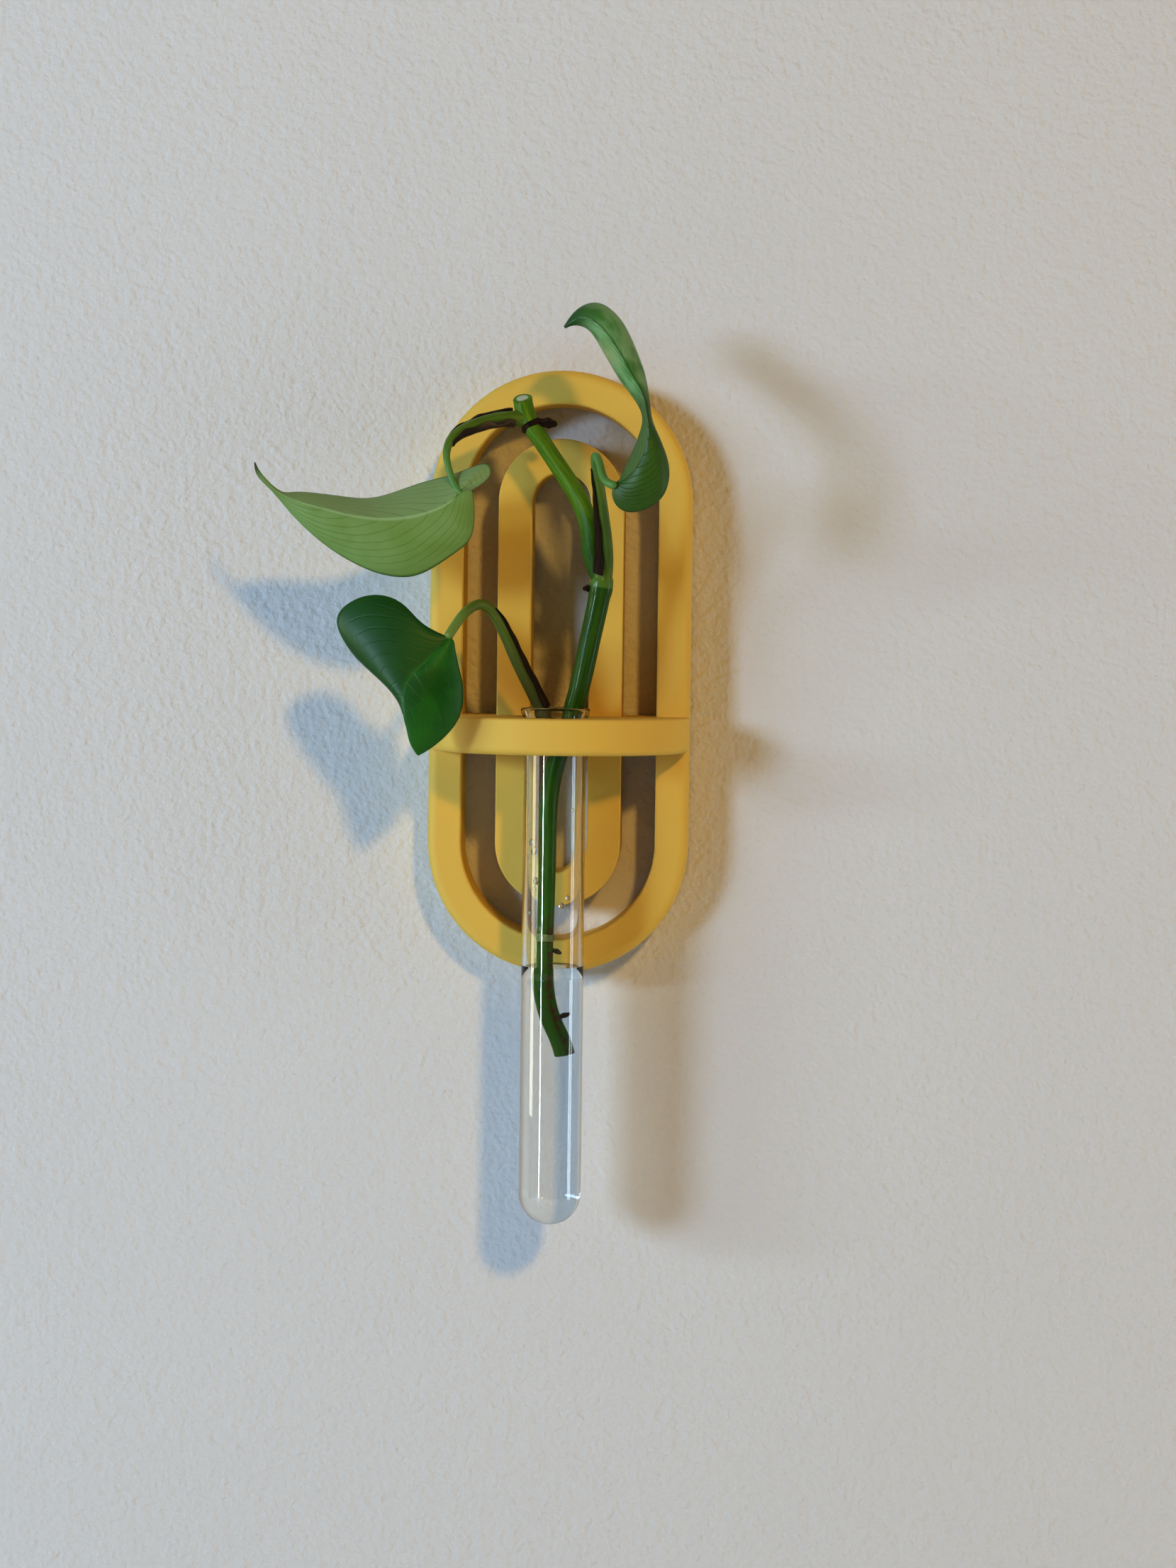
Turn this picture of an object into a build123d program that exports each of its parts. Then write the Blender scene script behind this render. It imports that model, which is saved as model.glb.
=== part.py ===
from build123d import *
import math
import os

# A glass tube hangs by its rim in a half round shelf, and the shelf is clamped across two stadium rings.
# Millimetres. X runs to the right, Z up and Y into the wall, so the front of the object looks along -Y.
# The origin lies on the wall, on the centre line, level with the middle of the shelf's thickness.

# Rings
ring_radius = 38.6
ring_band = 9.9
ring_gap = 10.2
arc_spacing = 100.5
ring_depth = 17.0
ring_centre_rise = 17.75
outer_edge_round = 2.9
edge_bevel = 0.4

# Shelf and the bar that clamps it
shelf_thickness = 10.4
shelf_lower_round = 2.3
bar_depth = 4.0
bar_end_margin = 3.0
joint_fit = 0.1

# Screws in the bar
screw_radius = 1.25
screw_head_radius = 2.5
screw_length = 16.0
screw_tip = 2.0
screw_socket_flat = 2.0
screw_socket_depth = 1.0
screw_fit = 0.05

# Adhesive foam strips on the wall side
strip_thickness = 1.0
strip_width = 7.0
strip_length = 28.0
bar_strip_length = 56.0

# Glass tube
tube_radius = 9.0
tube_wall = 1.2
tube_length = 150.0
tube_stand_off = 20.0
tube_clearance = 0.4
rim_radius = 10.05
rim_rise = 2.9
rim_drop = 0.3
rim_bead = 0.9
rim_flare = 0.6

# Water
water_depth = 74.0
water_gap = 0.05
stem_hollow_clearance = 0.3

# Cutting
stem_floor_gap = 50.2
stem_above_rim = 38.2
stem_low_radius = 2.3
stem_rim_radius = 2.85
stem_high_radius = 3.2
joint_seat = 0.2
side_stem_reach = 52.0
side_stem_radius = 2.7
node_ring_height = 1.1
node_ring_proud = 0.45
stub_reach = 4.2
stub_radius = 1.3
root_nub_reach = 2.2
root_nub_radius = 0.8
low_petiole_seat_depth = 11.9
low_petiole_reach = 44.0
low_petiole_radius = 2.3
low_petiole_tip_radius = 1.35
top_petiole_reach = 37.0
top_petiole_radius = 2.4
top_petiole_tip_radius = 1.05
left_petiole_reach = 24.0
left_petiole_radius = 1.7
left_petiole_tip_radius = 1.1
sheath_thickness = 0.6
sheath_half_angle = 60
low_leaf_length = 45.0
top_leaf_length = 55.0
left_leaf_length = 60.0
leaf_rib_thickness = 1.2
leaf_edge_thickness = 0.5

# Overrun of every cut past the face that it opens
cut_overrun = 1.0

# Sizes that follow from the ones above
slot_radius = ring_radius - ring_band
inner_ring_radius = slot_radius - ring_gap
hole_radius = inner_ring_radius - ring_band
ring_back_y = -strip_thickness
ring_front_y = ring_back_y - ring_depth
bar_front_y = ring_back_y - bar_depth
tube_y = ring_front_y - tube_stand_off
shelf_top_z = shelf_thickness / 2
rim_top_z = shelf_top_z + rim_rise
bore_radius = tube_radius - tube_wall
stem_below_rim = tube_length - stem_floor_gap
mouth_radius = bore_radius + rim_flare
tube_bottom_z = rim_top_z - tube_length
water_floor_z = tube_bottom_z + tube_wall + water_gap
water_top_z = water_floor_z + water_depth

# Shares that shape the stalks. Each row is (x, y, z), counted from the stalk's own start.
# The part of the stem in the tube counts x and y in bore radii and z in the length below the rim.
stem_in_tube_shares = [
    (0.37, 0.00, -1.000),
    (0.25, -0.06, -0.960),
    (0.00, -0.10, -0.905),
    (-0.18, -0.08, -0.845),
    (-0.28, 0.00, -0.745),
    (-0.27, 0.05, -0.630),
    (-0.23, 0.05, -0.410),
    (-0.08, 0.02, -0.200),
    (0.18, 0.00, -0.120),
    (0.58, 0.00, -0.020),
]
stem_above_shares = [
    (0.060, -0.050, 0.205),
    (0.135, -0.080, 0.560),
    (0.185, -0.100, 0.795),
    (0.223, -0.120, 1.000),
]
side_stem_shares = [
    (0.000, 0.000, 0.000),
    (-0.033, 0.010, 0.085),
    (-0.052, 0.025, 0.140),
    (-0.067, 0.045, 0.250),
    (-0.104, 0.065, 0.394),
    (-0.187, 0.085, 0.542),
    (-0.288, 0.100, 0.688),
    (-0.379, 0.110, 0.819),
    (-0.430, 0.118, 0.900),
    (-0.456, 0.122, 1.000),
]
low_petiole_shares = [
    (0.000, 0.000, 0.000),
    (-0.062, -0.010, 0.150),
    (-0.139, -0.030, 0.316),
    (-0.285, -0.105, 0.608),
    (-0.414, -0.200, 0.868),
    (-0.459, -0.240, 0.923),
    (-0.510, -0.290, 0.945),
    (-0.575, -0.350, 0.915),
    (-0.630, -0.420, 0.850),
    (-0.689, -0.500, 0.748),
]
top_petiole_shares = [
    (0.000, 0.000, 0.000),
    (0.019, -0.050, 0.142),
    (0.022, -0.132, 0.307),
    (0.010, -0.240, 0.470),
    (-0.004, -0.376, 0.630),
    (-0.020, -0.484, 0.762),
    (-0.039, -0.605, 0.878),
    (-0.033, -0.714, 0.924),
    (-0.001, -0.822, 0.866),
    (0.027, -0.903, 0.773),
    (0.068, -0.957, 0.717),
    (0.112, -0.984, 0.697),
]
left_petiole_shares = [
    (0.000, 0.000, 0.000),
    (-0.154, -0.060, 0.008),
    (-0.342, -0.150, -0.008),
    (-0.550, -0.260, -0.070),
    (-0.754, -0.380, -0.167),
    (-0.875, -0.480, -0.283),
    (-0.917, -0.560, -0.438),
    (-0.883, -0.630, -0.638),
    (-0.788, -0.690, -0.850),
    (-0.730, -0.720, -0.920),
]

# Shares that shape the leaves, each row a station on the midrib: its (x, y, z) from the leaf's base, the
# direction of its first half in degrees in the XZ plane, then reach and depth of its two halves.
low_leaf_shares = [
    (0.000, 0.000, 0.000, 138, 0.33, 0.02, 0.03, 0.01),
    (-0.070, -0.030, -0.065, 140, 0.54, 0.05, 0.13, 0.03),
    (-0.136, -0.050, -0.120, 142, 0.59, 0.08, 0.245, 0.06),
    (-0.210, -0.060, -0.180, 151, 0.57, 0.10, 0.34, 0.09),
    (-0.270, -0.060, -0.265, 157, 0.41, 0.10, 0.39, 0.11),
    (-0.290, -0.050, -0.340, 155, 0.16, 0.07, 0.38, 0.12),
    (-0.290, -0.040, -0.410, 150, 0.05, 0.04, 0.33, 0.11),
    (-0.270, -0.030, -0.510, 150, 0.03, 0.02, 0.25, 0.08),
    (-0.235, -0.010, -0.620, 152, 0.02, 0.01, 0.13, 0.04),
    (-0.180, 0.000, -0.720, 155, 0.01, 0.00, 0.01, 0.00),
]
top_leaf_shares = [
    (0.018, 0.000, 0.013, 118, 0.02, 0.10, 0.165, 0.03),
    (0.051, -0.020, 0.082, 143, 0.02, 0.15, 0.180, 0.05),
    (0.096, -0.035, 0.169, 160, 0.02, 0.17, 0.200, 0.06),
    (0.131, -0.040, 0.255, 158, 0.02, 0.17, 0.118, 0.10),
    (0.160, -0.035, 0.347, 175, 0.02, 0.16, 0.020, 0.14),
    (0.120, 0.000, 0.478, 188, 0.05, 0.14, 0.045, 0.14),
    (0.073, 0.090, 0.633, 195, 0.08, 0.10, 0.065, 0.11),
    (-0.015, 0.240, 0.802, 218, 0.08, 0.07, 0.080, 0.08),
    (-0.107, 0.350, 0.899, 247, 0.065, 0.05, 0.065, 0.05),
    (-0.198, 0.420, 0.894, 255, 0.04, 0.02, 0.040, 0.03),
    (-0.270, 0.450, 0.818, 280, 0.008, 0.00, 0.008, 0.00),
]
left_leaf_shares = [
    (0.093, 0.000, 0.000, 90, 0.105, 0.06, 0.020, 0.00),
    (0.043, -0.010, -0.012, 90, 0.095, 0.10, 0.255, 0.03),
    (-0.015, -0.020, -0.045, 90, 0.100, 0.13, 0.267, 0.04),
    (-0.073, -0.030, -0.093, 90, 0.135, 0.15, 0.257, 0.04),
    (-0.190, -0.045, -0.140, 90, 0.153, 0.16, 0.278, 0.05),
    (-0.343, -0.050, -0.157, 90, 0.113, 0.15, 0.263, 0.05),
    (-0.497, -0.045, -0.145, 90, 0.087, 0.13, 0.210, 0.04),
    (-0.650, -0.030, -0.113, 95, 0.073, 0.10, 0.143, 0.03),
    (-0.805, -0.005, -0.048, 105, 0.030, 0.04, 0.067, 0.01),
    (-0.965, 0.030, 0.075, 115, 0.008, 0.00, 0.008, 0.00),
]

# Where the smaller pieces sit, as shares of the length of what carries them
left_petiole_seat_share = 0.90
stub_seat_share = 0.865
scar_ring_share = 0.865
root_node_share = 0.245
root_nub_share = 0.22
lower_nub_share = 0.07
node_nub_share = 0.985
low_sheath_shares = (0.20, 0.66)
top_sheath_shares = (0.08, 0.68)
left_sheath_shares = (0.10, 0.58)
nub_clear_share = 0.06
corner_share = 0.45
stations_per_stalk = 18
base_centred = (Align.CENTER, Align.CENTER, Align.MIN)

# Directions of the small pieces, as (x, y, z) of any length
stub_direction = (1, 0, 0.1)
root_nub_direction = (1, 0, -0.2)
lower_nub_direction = (1, 0, 0.6)
node_nub_direction = (-1, -0.2, 0.1)

# The side of its petiole that each sheath lies on, 1 for the left as the petiole grows and -1 for the right
low_sheath_side = -1
top_sheath_side = 1
left_sheath_side = 1


def stadium(radius, depth, back_y):
    """A solid stadium of the given end radius that runs from back_y to the front."""
    outline = SlotCenterToCenter(arc_spacing, 2 * radius, rotation=90)
    face = Plane.XZ.offset(-back_y) * Pos(0, ring_centre_rise) * outline
    return extrude(face, depth)


def front_edges(solid, front_y):
    """Edges that lie in the front plane of a ring."""
    return solid.edges().filter_by_position(Axis.Y, front_y, front_y)


def ring(outer_radius, inner_radius, outer_round):
    """A stadium frame with its outer front edge rounded and its inner front edge bevelled."""
    blank = stadium(outer_radius, ring_depth, ring_back_y)
    blank = fillet(front_edges(blank, ring_front_y), outer_round)
    opening = stadium(inner_radius, ring_depth + 2 * cut_overrun, ring_back_y + cut_overrun)
    frame = blank - opening
    inner_edges = [
        edge
        for edge in front_edges(frame, ring_front_y)
        if edge.bounding_box().size.X <= 2 * inner_radius + edge_bevel
    ]
    return chamfer(inner_edges, edge_bevel)


def block(x_size, y_front, y_back, z_size, x=0, z=0):
    """A box between two Y planes, centred on x and z."""
    return Pos(x, (y_front + y_back) / 2, z) * Box(x_size, y_back - y_front, z_size)


def bar_half_length():
    """Half the length of the clamping bar."""
    return ring_radius - bar_end_margin


def with_lap(frame):
    """The ring with the notch in its back that takes the clamping bar."""
    notch = block(
        2 * (bar_half_length() + joint_fit),
        bar_front_y - joint_fit,
        cut_overrun,
        shelf_thickness + 2 * joint_fit,
    )
    return frame - notch


def shelf_teeth():
    """Spans in X of the shelf's teeth, which fill the slots from the rings' front to the bar."""
    slot_low = inner_ring_radius + joint_fit
    slot_high = slot_radius - joint_fit
    hole_half = hole_radius - joint_fit
    return [(-slot_high, -slot_low), (-hole_half, hole_half), (slot_low, slot_high)]


def screw_places():
    """X of each screw, one in the middle of each tooth."""
    return [(low + high) / 2 for low, high in shelf_teeth()]


def shelf():
    """The half round shelf with its teeth, the hole for the tube and the screw pilots."""
    disc = Pos(0, ring_front_y, 0) * Cylinder(ring_radius, shelf_thickness)
    front = block(2 * ring_radius, ring_front_y - ring_radius, ring_front_y, shelf_thickness)
    half = disc & front
    low_edge = [e for e in half.edges().group_by(Axis.Z)[0] if e.geom_type == GeomType.CIRCLE]
    half = fillet(low_edge, shelf_lower_round)
    high_edge = [e for e in half.edges().group_by(Axis.Z)[-1] if e.geom_type == GeomType.CIRCLE]
    half = chamfer(high_edge, edge_bevel)
    for low, high in shelf_teeth():
        half += block(high - low, ring_front_y, bar_front_y, shelf_thickness, (low + high) / 2)
    half -= Pos(0, tube_y, 0) * Cylinder(tube_radius + tube_clearance, shelf_thickness + 2 * cut_overrun)
    pilot_length = screw_length - bar_depth + cut_overrun
    for x in screw_places():
        pilot = Rot(X=90) * Cylinder(screw_radius + screw_fit, pilot_length, align=base_centred)
        half -= Pos(x, bar_front_y, 0) * pilot
    return half


def screw_form(spare):
    """A countersunk screw on the Z axis, head up at zero, grown by spare all round."""
    cone_depth = screw_head_radius - screw_radius
    tip_z = -screw_length - spare
    half_outline = Polyline(
        (0, 0),
        (screw_head_radius + spare, 0),
        (screw_radius + spare, -cone_depth),
        (screw_radius + spare, tip_z + screw_tip),
        (0, tip_z),
        close=True,
    )
    return revolve(Plane.XZ * make_face(half_outline), Axis.Z)


def tie_bar():
    """The flat bar in the rings' rear notches that the screws pull against the shelf's teeth."""
    bar = block(2 * bar_half_length(), bar_front_y, ring_back_y, shelf_thickness)
    for x in screw_places():
        bar -= Pos(x, ring_back_y, 0) * Rot(X=-90) * screw_form(screw_fit)
    return bar


def screw(x):
    """One screw, its head flush in the bar's back."""
    socket = RegularPolygon(screw_socket_flat / 2, 6, major_radius=False)
    form = screw_form(0) - extrude(socket, -screw_socket_depth)
    return Pos(x, ring_back_y, 0) * Rot(X=-90) * form


def strip(x, z, x_size, z_size):
    """One foam strip between a ring's back and the wall."""
    return block(x_size, ring_back_y, 0, z_size, x, z)


def wall_strips():
    """The foam strips by name: four on the outer ring, two on the inner ring, one on the bar."""
    outer_x = ring_radius - ring_band / 2
    inner_x = inner_ring_radius - ring_band / 2
    straight_top = ring_centre_rise + arc_spacing / 2
    straight_bottom = ring_centre_rise - arc_spacing / 2
    upper_z = straight_top - strip_length / 2
    lower_z = straight_bottom + strip_length / 2
    strips = {}
    for side, sign in (("left", -1), ("right", 1)):
        strips["strip_outer_upper_" + side] = strip(sign * outer_x, upper_z, strip_width, strip_length)
        strips["strip_outer_lower_" + side] = strip(sign * outer_x, lower_z, strip_width, strip_length)
        strips["strip_inner_" + side] = strip(sign * inner_x, upper_z, strip_width, strip_length)
    strips["strip_bar"] = strip(0, 0, bar_strip_length, strip_width)
    return strips


def glass_tube():
    """The test tube: a flared, beaded rim, a straight wall and a hemispherical end."""
    bead_z = rim_top_z - rim_bead
    flare_z = shelf_top_z - rim_drop
    ball_z = tube_bottom_z + tube_radius
    diagonal_share = math.sqrt(0.5)
    outline = Curve() + [
        Line((mouth_radius, rim_top_z), (rim_radius - rim_bead, rim_top_z)),
        RadiusArc((rim_radius - rim_bead, rim_top_z), (rim_radius, bead_z), rim_bead),
        Line((rim_radius, bead_z), (tube_radius, flare_z)),
        Line((tube_radius, flare_z), (tube_radius, ball_z)),
        ThreePointArc(
            (tube_radius, ball_z),
            (tube_radius * diagonal_share, ball_z - tube_radius * diagonal_share),
            (0, tube_bottom_z),
        ),
        Line((0, tube_bottom_z), (0, tube_bottom_z + tube_wall)),
        ThreePointArc(
            (0, tube_bottom_z + tube_wall),
            (bore_radius * diagonal_share, ball_z - bore_radius * diagonal_share),
            (bore_radius, ball_z),
        ),
        Line((bore_radius, ball_z), (bore_radius, flare_z)),
        Line((bore_radius, flare_z), (mouth_radius, rim_top_z)),
    ]
    return Pos(0, tube_y, 0) * revolve(Plane.XZ * make_face(outline), Axis.Z)


def water(stem_hollow):
    """The water in the tube's lower half, with a hollow where the stem stands in it."""
    radius = bore_radius - water_gap
    ball_z = tube_bottom_z + tube_radius
    column = Pos(0, tube_y, ball_z) * Cylinder(radius, water_top_z - ball_z, align=base_centred)
    return column + Pos(0, tube_y, ball_z) * Sphere(radius) - stem_hollow


def from_shares(start, reach, shares):
    """Points of a stalk, worked out from its start and its reach."""
    return [start + Vector(*row) * reach for row in shares]


def rounded_path(points):
    """Straight runs joined by tangent arcs, each as large as its two runs allow."""
    radii = []
    for before, corner, after in zip(points, points[1:], points[2:]):
        run_in = corner - before
        run_out = after - corner
        half_turn = math.radians(run_in.get_angle(run_out)) / 2
        radii.append(corner_share * min(run_in.length, run_out.length) / math.tan(half_turn))
    return FilletPolyline(*points, radius=radii)


def stalk(path, radius_at, first_share=0.0, last_share=1.0):
    """A round stalk: a ruled loft through circles whose radius follows radius_at along the path."""
    sections = []
    for step in range(stations_per_stalk + 1):
        share = first_share + (last_share - first_share) * step / stations_per_stalk
        plane = Plane(origin=path @ share, z_dir=path % share)
        sections.append(plane * Circle(radius_at(share)))
    return loft(sections, ruled=True)


def taper(start_radius, end_radius):
    """A radius that changes steadily from one end of a path to the other."""
    return lambda share: start_radius + (end_radius - start_radius) * share


def grown(radius_at, spare):
    """The same run of radii, each larger by spare."""
    return lambda share: radius_at(share) + spare


def sheath(path, radius_at, shares, side):
    """A dried sheath that wraps one side of a petiole as a thin gutter."""
    sections = []
    first_share, last_share = shares
    for step in range(stations_per_stalk + 1):
        position = step / stations_per_stalk
        share = first_share + (last_share - first_share) * position
        inner = radius_at(share) + joint_seat
        outer = inner + sheath_thickness
        across = sheath_direction(path % share, side)
        plane = Plane(origin=path @ share, x_dir=across, z_dir=path % share)
        sections.append(plane * gutter(inner, outer))
    return loft(sections, ruled=True)


def sheath_direction(tangent, side):
    """The direction square to the tangent that points to the sheath's side."""
    across = tangent.cross(Vector(0, side, 0))
    return across.normalized()


def gutter(inner, outer):
    """The section of a sheath: a third of a ring, drawn as two arcs."""
    spread = math.radians(sheath_half_angle)
    arc_ends = [(math.cos(turn), math.sin(turn)) for turn in (-spread, 0.0, spread)]
    inside = [(inner * x, inner * y) for x, y in arc_ends]
    outside = [(outer * x, outer * y) for x, y in arc_ends]
    outline = Curve() + [
        ThreePointArc(*inside),
        Line(inside[2], outside[2]),
        ThreePointArc(*reversed(outside)),
        Line(outside[0], inside[0]),
    ]
    return make_face(outline)


def leaf(base, length, shares):
    """A leaf blade: a ruled loft through thin bent sections, one at each station of the midrib."""
    sections = []
    for x, y, z, turn, first, first_depth, second, second_depth in shares:
        middle = base + Vector(x, y, z) * length
        across = Vector(math.cos(math.radians(turn)), 0, math.sin(math.radians(turn)))
        back = Vector(0, 1, 0)
        first_edge = middle + (across * first + back * first_depth) * length
        second_edge = middle + (across * -second + back * second_depth) * length
        rib = back * leaf_rib_thickness
        rim = back * leaf_edge_thickness
        corners = [first_edge, middle, second_edge, second_edge + rim, middle + rib, first_edge + rim]
        sections.append(Wire.make_polygon(corners))
    return Solid.make_loft(sections, ruled=True)


def ring_run(path, radius_at, share, proud, spare):
    """The run of a stem that a node ring covers, grown by proud and longer by spare at both ends."""
    half_share = (node_ring_height / 2 + spare) / path.length
    return stalk(path, grown(radius_at, proud), share - half_share, share + half_share)


def node_ring(path, radius_at, share):
    """A short swollen ring round a stem."""
    body = ring_run(path, radius_at, share, node_ring_proud, 0)
    return body - ring_run(path, radius_at, share, joint_seat / 2, joint_seat)


def nub(path, radius_at, share, direction, reach, radius):
    """A small blunt cone that stands on a stem's side, and starts inside the stem."""
    plane = Plane(origin=path @ share, z_dir=Vector(*direction))
    length = radius_at(share) + reach
    return plane * Cone(radius, radius / 2, length, align=base_centred)


def off_stem(shape, path, radius_at, share):
    """The part of a nub that stands proud of the stem it grows from."""
    first_share = share - nub_clear_share
    last_share = min(share + nub_clear_share, 1)
    return shape - stalk(path, grown(radius_at, joint_seat), first_share, last_share)


def largest(shape):
    """The largest solid of a cut shape, without the chips that a cut leaves inside a joint."""
    return max(shape.solids(), key=lambda solid: solid.volume)


def cutting():
    """All pieces of the plant cutting by name, and the hollow that its stem needs in the water."""
    pieces = {}
    rim_centre = Vector(0, tube_y, rim_top_z)
    stem_points = [
        rim_centre + Vector(x * bore_radius, y * bore_radius, z * stem_below_rim)
        for x, y, z in stem_in_tube_shares
    ]
    stem_points += from_shares(stem_points[-1], stem_above_rim, stem_above_shares)
    stem_path = rounded_path(stem_points)
    rim_share = stem_below_rim / (stem_below_rim + stem_above_rim)

    def stem_radius(share):
        """The stem thickens slowly up to the rim and faster above it."""
        if share < rim_share:
            return stem_low_radius + (stem_rim_radius - stem_low_radius) * share / rim_share
        above = (share - rim_share) / (1 - rim_share)
        return stem_rim_radius + (stem_high_radius - stem_rim_radius) * above

    pieces["main_stem"] = stalk(stem_path, stem_radius)
    stem_clear = stalk(stem_path, grown(stem_radius, joint_seat))
    side_path = rounded_path(from_shares(stem_path @ 1, side_stem_reach, side_stem_shares))
    side_radius = taper(stem_high_radius, side_stem_radius)
    pieces["side_stem"] = largest(stalk(side_path, side_radius) - stem_clear)
    side_clear = stalk(side_path, grown(side_radius, joint_seat))

    low_start = stem_path @ (rim_share - low_petiole_seat_depth / stem_path.length)
    low_path = rounded_path(from_shares(low_start, low_petiole_reach, low_petiole_shares))
    low_radius = taper(low_petiole_radius, low_petiole_tip_radius)
    top_path = rounded_path(from_shares(stem_path @ 1, top_petiole_reach, top_petiole_shares))
    top_radius = taper(top_petiole_radius, top_petiole_tip_radius)
    left_start = side_path @ left_petiole_seat_share
    left_path = rounded_path(from_shares(left_start, left_petiole_reach, left_petiole_shares))
    left_radius = taper(left_petiole_radius, left_petiole_tip_radius)

    petioles = {
        "low": (low_path, low_radius, low_sheath_shares, low_sheath_side),
        "top": (top_path, top_radius, top_sheath_shares, top_sheath_side),
        "left": (left_path, left_radius, left_sheath_shares, left_sheath_side),
    }
    blades = {
        "low": (low_leaf_length, low_leaf_shares),
        "top": (top_leaf_length, top_leaf_shares),
        "left": (left_leaf_length, left_leaf_shares),
    }
    clearances = {}
    for name, (path, radius_at, sheath_span, side) in petioles.items():
        clearances[name] = stalk(path, grown(radius_at, joint_seat))
        pieces[name + "_petiole"] = largest(stalk(path, radius_at) - stem_clear - side_clear)
        gutter_solid = sheath(path, radius_at, sheath_span, side)
        pieces[name + "_sheath"] = largest(gutter_solid - stem_clear - side_clear)
        length, shares = blades[name]
        pieces[name + "_leaf"] = largest(leaf(path @ 1, length, shares) - clearances[name])

    stub = nub(side_path, side_radius, stub_seat_share, stub_direction, stub_reach, stub_radius)
    pieces["dried_stub"] = off_stem(stub, side_path, side_radius, stub_seat_share)
    pieces["root_ring"] = node_ring(stem_path, stem_radius, root_node_share)
    bud = nub(stem_path, stem_radius, node_nub_share, node_nub_direction, root_nub_reach, root_nub_radius)
    pieces["node_nub"] = off_stem(bud, stem_path, stem_radius, node_nub_share)
    ring_on_side = node_ring(side_path, side_radius, scar_ring_share)
    stub_clear_radius = stub_radius + joint_seat
    stub_clear = nub(side_path, side_radius, stub_seat_share, stub_direction, stub_reach, stub_clear_radius)
    pieces["scar_ring"] = largest(ring_on_side - clearances["left"] - stub_clear)

    hollow = stalk(stem_path, grown(stem_radius, stem_hollow_clearance))
    ring_hollow_proud = node_ring_proud + stem_hollow_clearance
    hollow += ring_run(stem_path, stem_radius, root_node_share, ring_hollow_proud, stem_hollow_clearance)
    nub_hollow_radius = root_nub_radius + stem_hollow_clearance
    nub_hollow_reach = root_nub_reach + stem_hollow_clearance
    for name, share, direction in (
        ("root_nub", root_nub_share, root_nub_direction),
        ("lower_root_nub", lower_nub_share, lower_nub_direction),
    ):
        shape = nub(stem_path, stem_radius, share, direction, root_nub_reach, root_nub_radius)
        pieces[name] = off_stem(shape, stem_path, stem_radius, share)
        hollow += nub(stem_path, stem_radius, share, direction, nub_hollow_reach, nub_hollow_radius)
    return pieces, hollow


def main():
    """Builds every piece and writes each to its own file."""
    os.makedirs("parts", exist_ok=True)
    outer_ring = with_lap(ring(ring_radius, slot_radius, outer_edge_round))
    inner_ring = with_lap(ring(inner_ring_radius, hole_radius, edge_bevel))
    plant, stem_hollow = cutting()
    pieces = {
        "outer_ring": outer_ring,
        "inner_ring": inner_ring,
        "shelf": shelf(),
        "tie_bar": tie_bar(),
        "glass_tube": glass_tube(),
        "water": water(stem_hollow),
    }
    for name, x in zip(("left", "middle", "right"), screw_places()):
        pieces["screw_" + name] = screw(x)
    pieces.update(wall_strips())
    pieces.update(plant)
    for name, shape in pieces.items():
        export_step(shape, f"parts/{name}.step")


main()
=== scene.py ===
"""Dresses a wall mounted flower tube: gold printed mount, clear glass tube of water and leafy cutting."""

import logging
import math
from collections.abc import Callable, Sequence
from dataclasses import dataclass
from enum import Enum

import bpy
import numpy as np
from mathutils import Euler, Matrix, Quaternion, Vector


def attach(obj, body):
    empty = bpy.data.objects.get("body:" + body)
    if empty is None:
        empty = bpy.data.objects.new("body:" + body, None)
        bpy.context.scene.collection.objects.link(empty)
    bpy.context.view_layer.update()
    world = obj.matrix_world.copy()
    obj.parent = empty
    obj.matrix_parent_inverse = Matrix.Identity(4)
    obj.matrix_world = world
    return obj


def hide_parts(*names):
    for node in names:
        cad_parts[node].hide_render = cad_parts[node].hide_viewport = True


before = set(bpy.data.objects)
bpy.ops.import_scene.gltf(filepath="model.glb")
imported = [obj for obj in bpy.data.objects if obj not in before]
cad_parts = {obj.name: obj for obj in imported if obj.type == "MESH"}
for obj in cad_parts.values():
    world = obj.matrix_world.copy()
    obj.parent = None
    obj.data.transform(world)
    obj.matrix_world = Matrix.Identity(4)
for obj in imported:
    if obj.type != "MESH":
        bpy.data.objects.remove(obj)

LOG = logging.getLogger("flower_tube")
MM = 0.001
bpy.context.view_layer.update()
CAMERA_PLACE_MM = (43.8, -895.0, 29.8)
RING_FRONT_Y_MM = -18.0

Row = tuple[float, ...]
Colour = tuple[float, float, float]
Piece = bpy.types.Object
Node = bpy.types.Node
Socket = bpy.types.NodeSocket
Sockets = dict[str, bpy.types.NodeSocket]


class Body(Enum):
    """The moving bodies that pieces ride on."""

    TUBE = "tube"
    CUTTING = "cutting"


class StalkEnd(Enum):
    """How a stalk ends: rows of (share of the radius, advance along the stalk in radii)."""

    ROUND = ((0.95, 0.3), (0.8, 0.6), (0.52, 0.85), (0.18, 0.98))
    CUT = ((1.02, 0.12), (0.97, 0.17), (0.88, 0.18), (0.8, 0.16), (0.45, 0.24), (0.15, 0.26))
    BURIED = ((0.6, 0.0), (0.2, 0.0))


# Curves and surfaces


def shares(count: int) -> np.ndarray:
    """Even shares from 0 to 1."""
    return np.linspace(0, 1, count)


def turns(count: int) -> np.ndarray:
    """Even angles once round, in radians, without the last one."""
    return np.linspace(0, 2 * math.pi, count, endpoint=False)


def runs_of(path: np.ndarray) -> np.ndarray:
    """The length of each straight run between neighbouring points."""
    return np.linalg.norm(np.diff(path, axis=0), axis=1)


def chord_stops(knots: np.ndarray) -> np.ndarray:
    """Each knot's share, from 0 to 1, of the length of the straight runs that join the knots."""
    reach = np.concatenate(([0.0], np.cumsum(runs_of(knots))))
    return reach / reach[-1]


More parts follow.
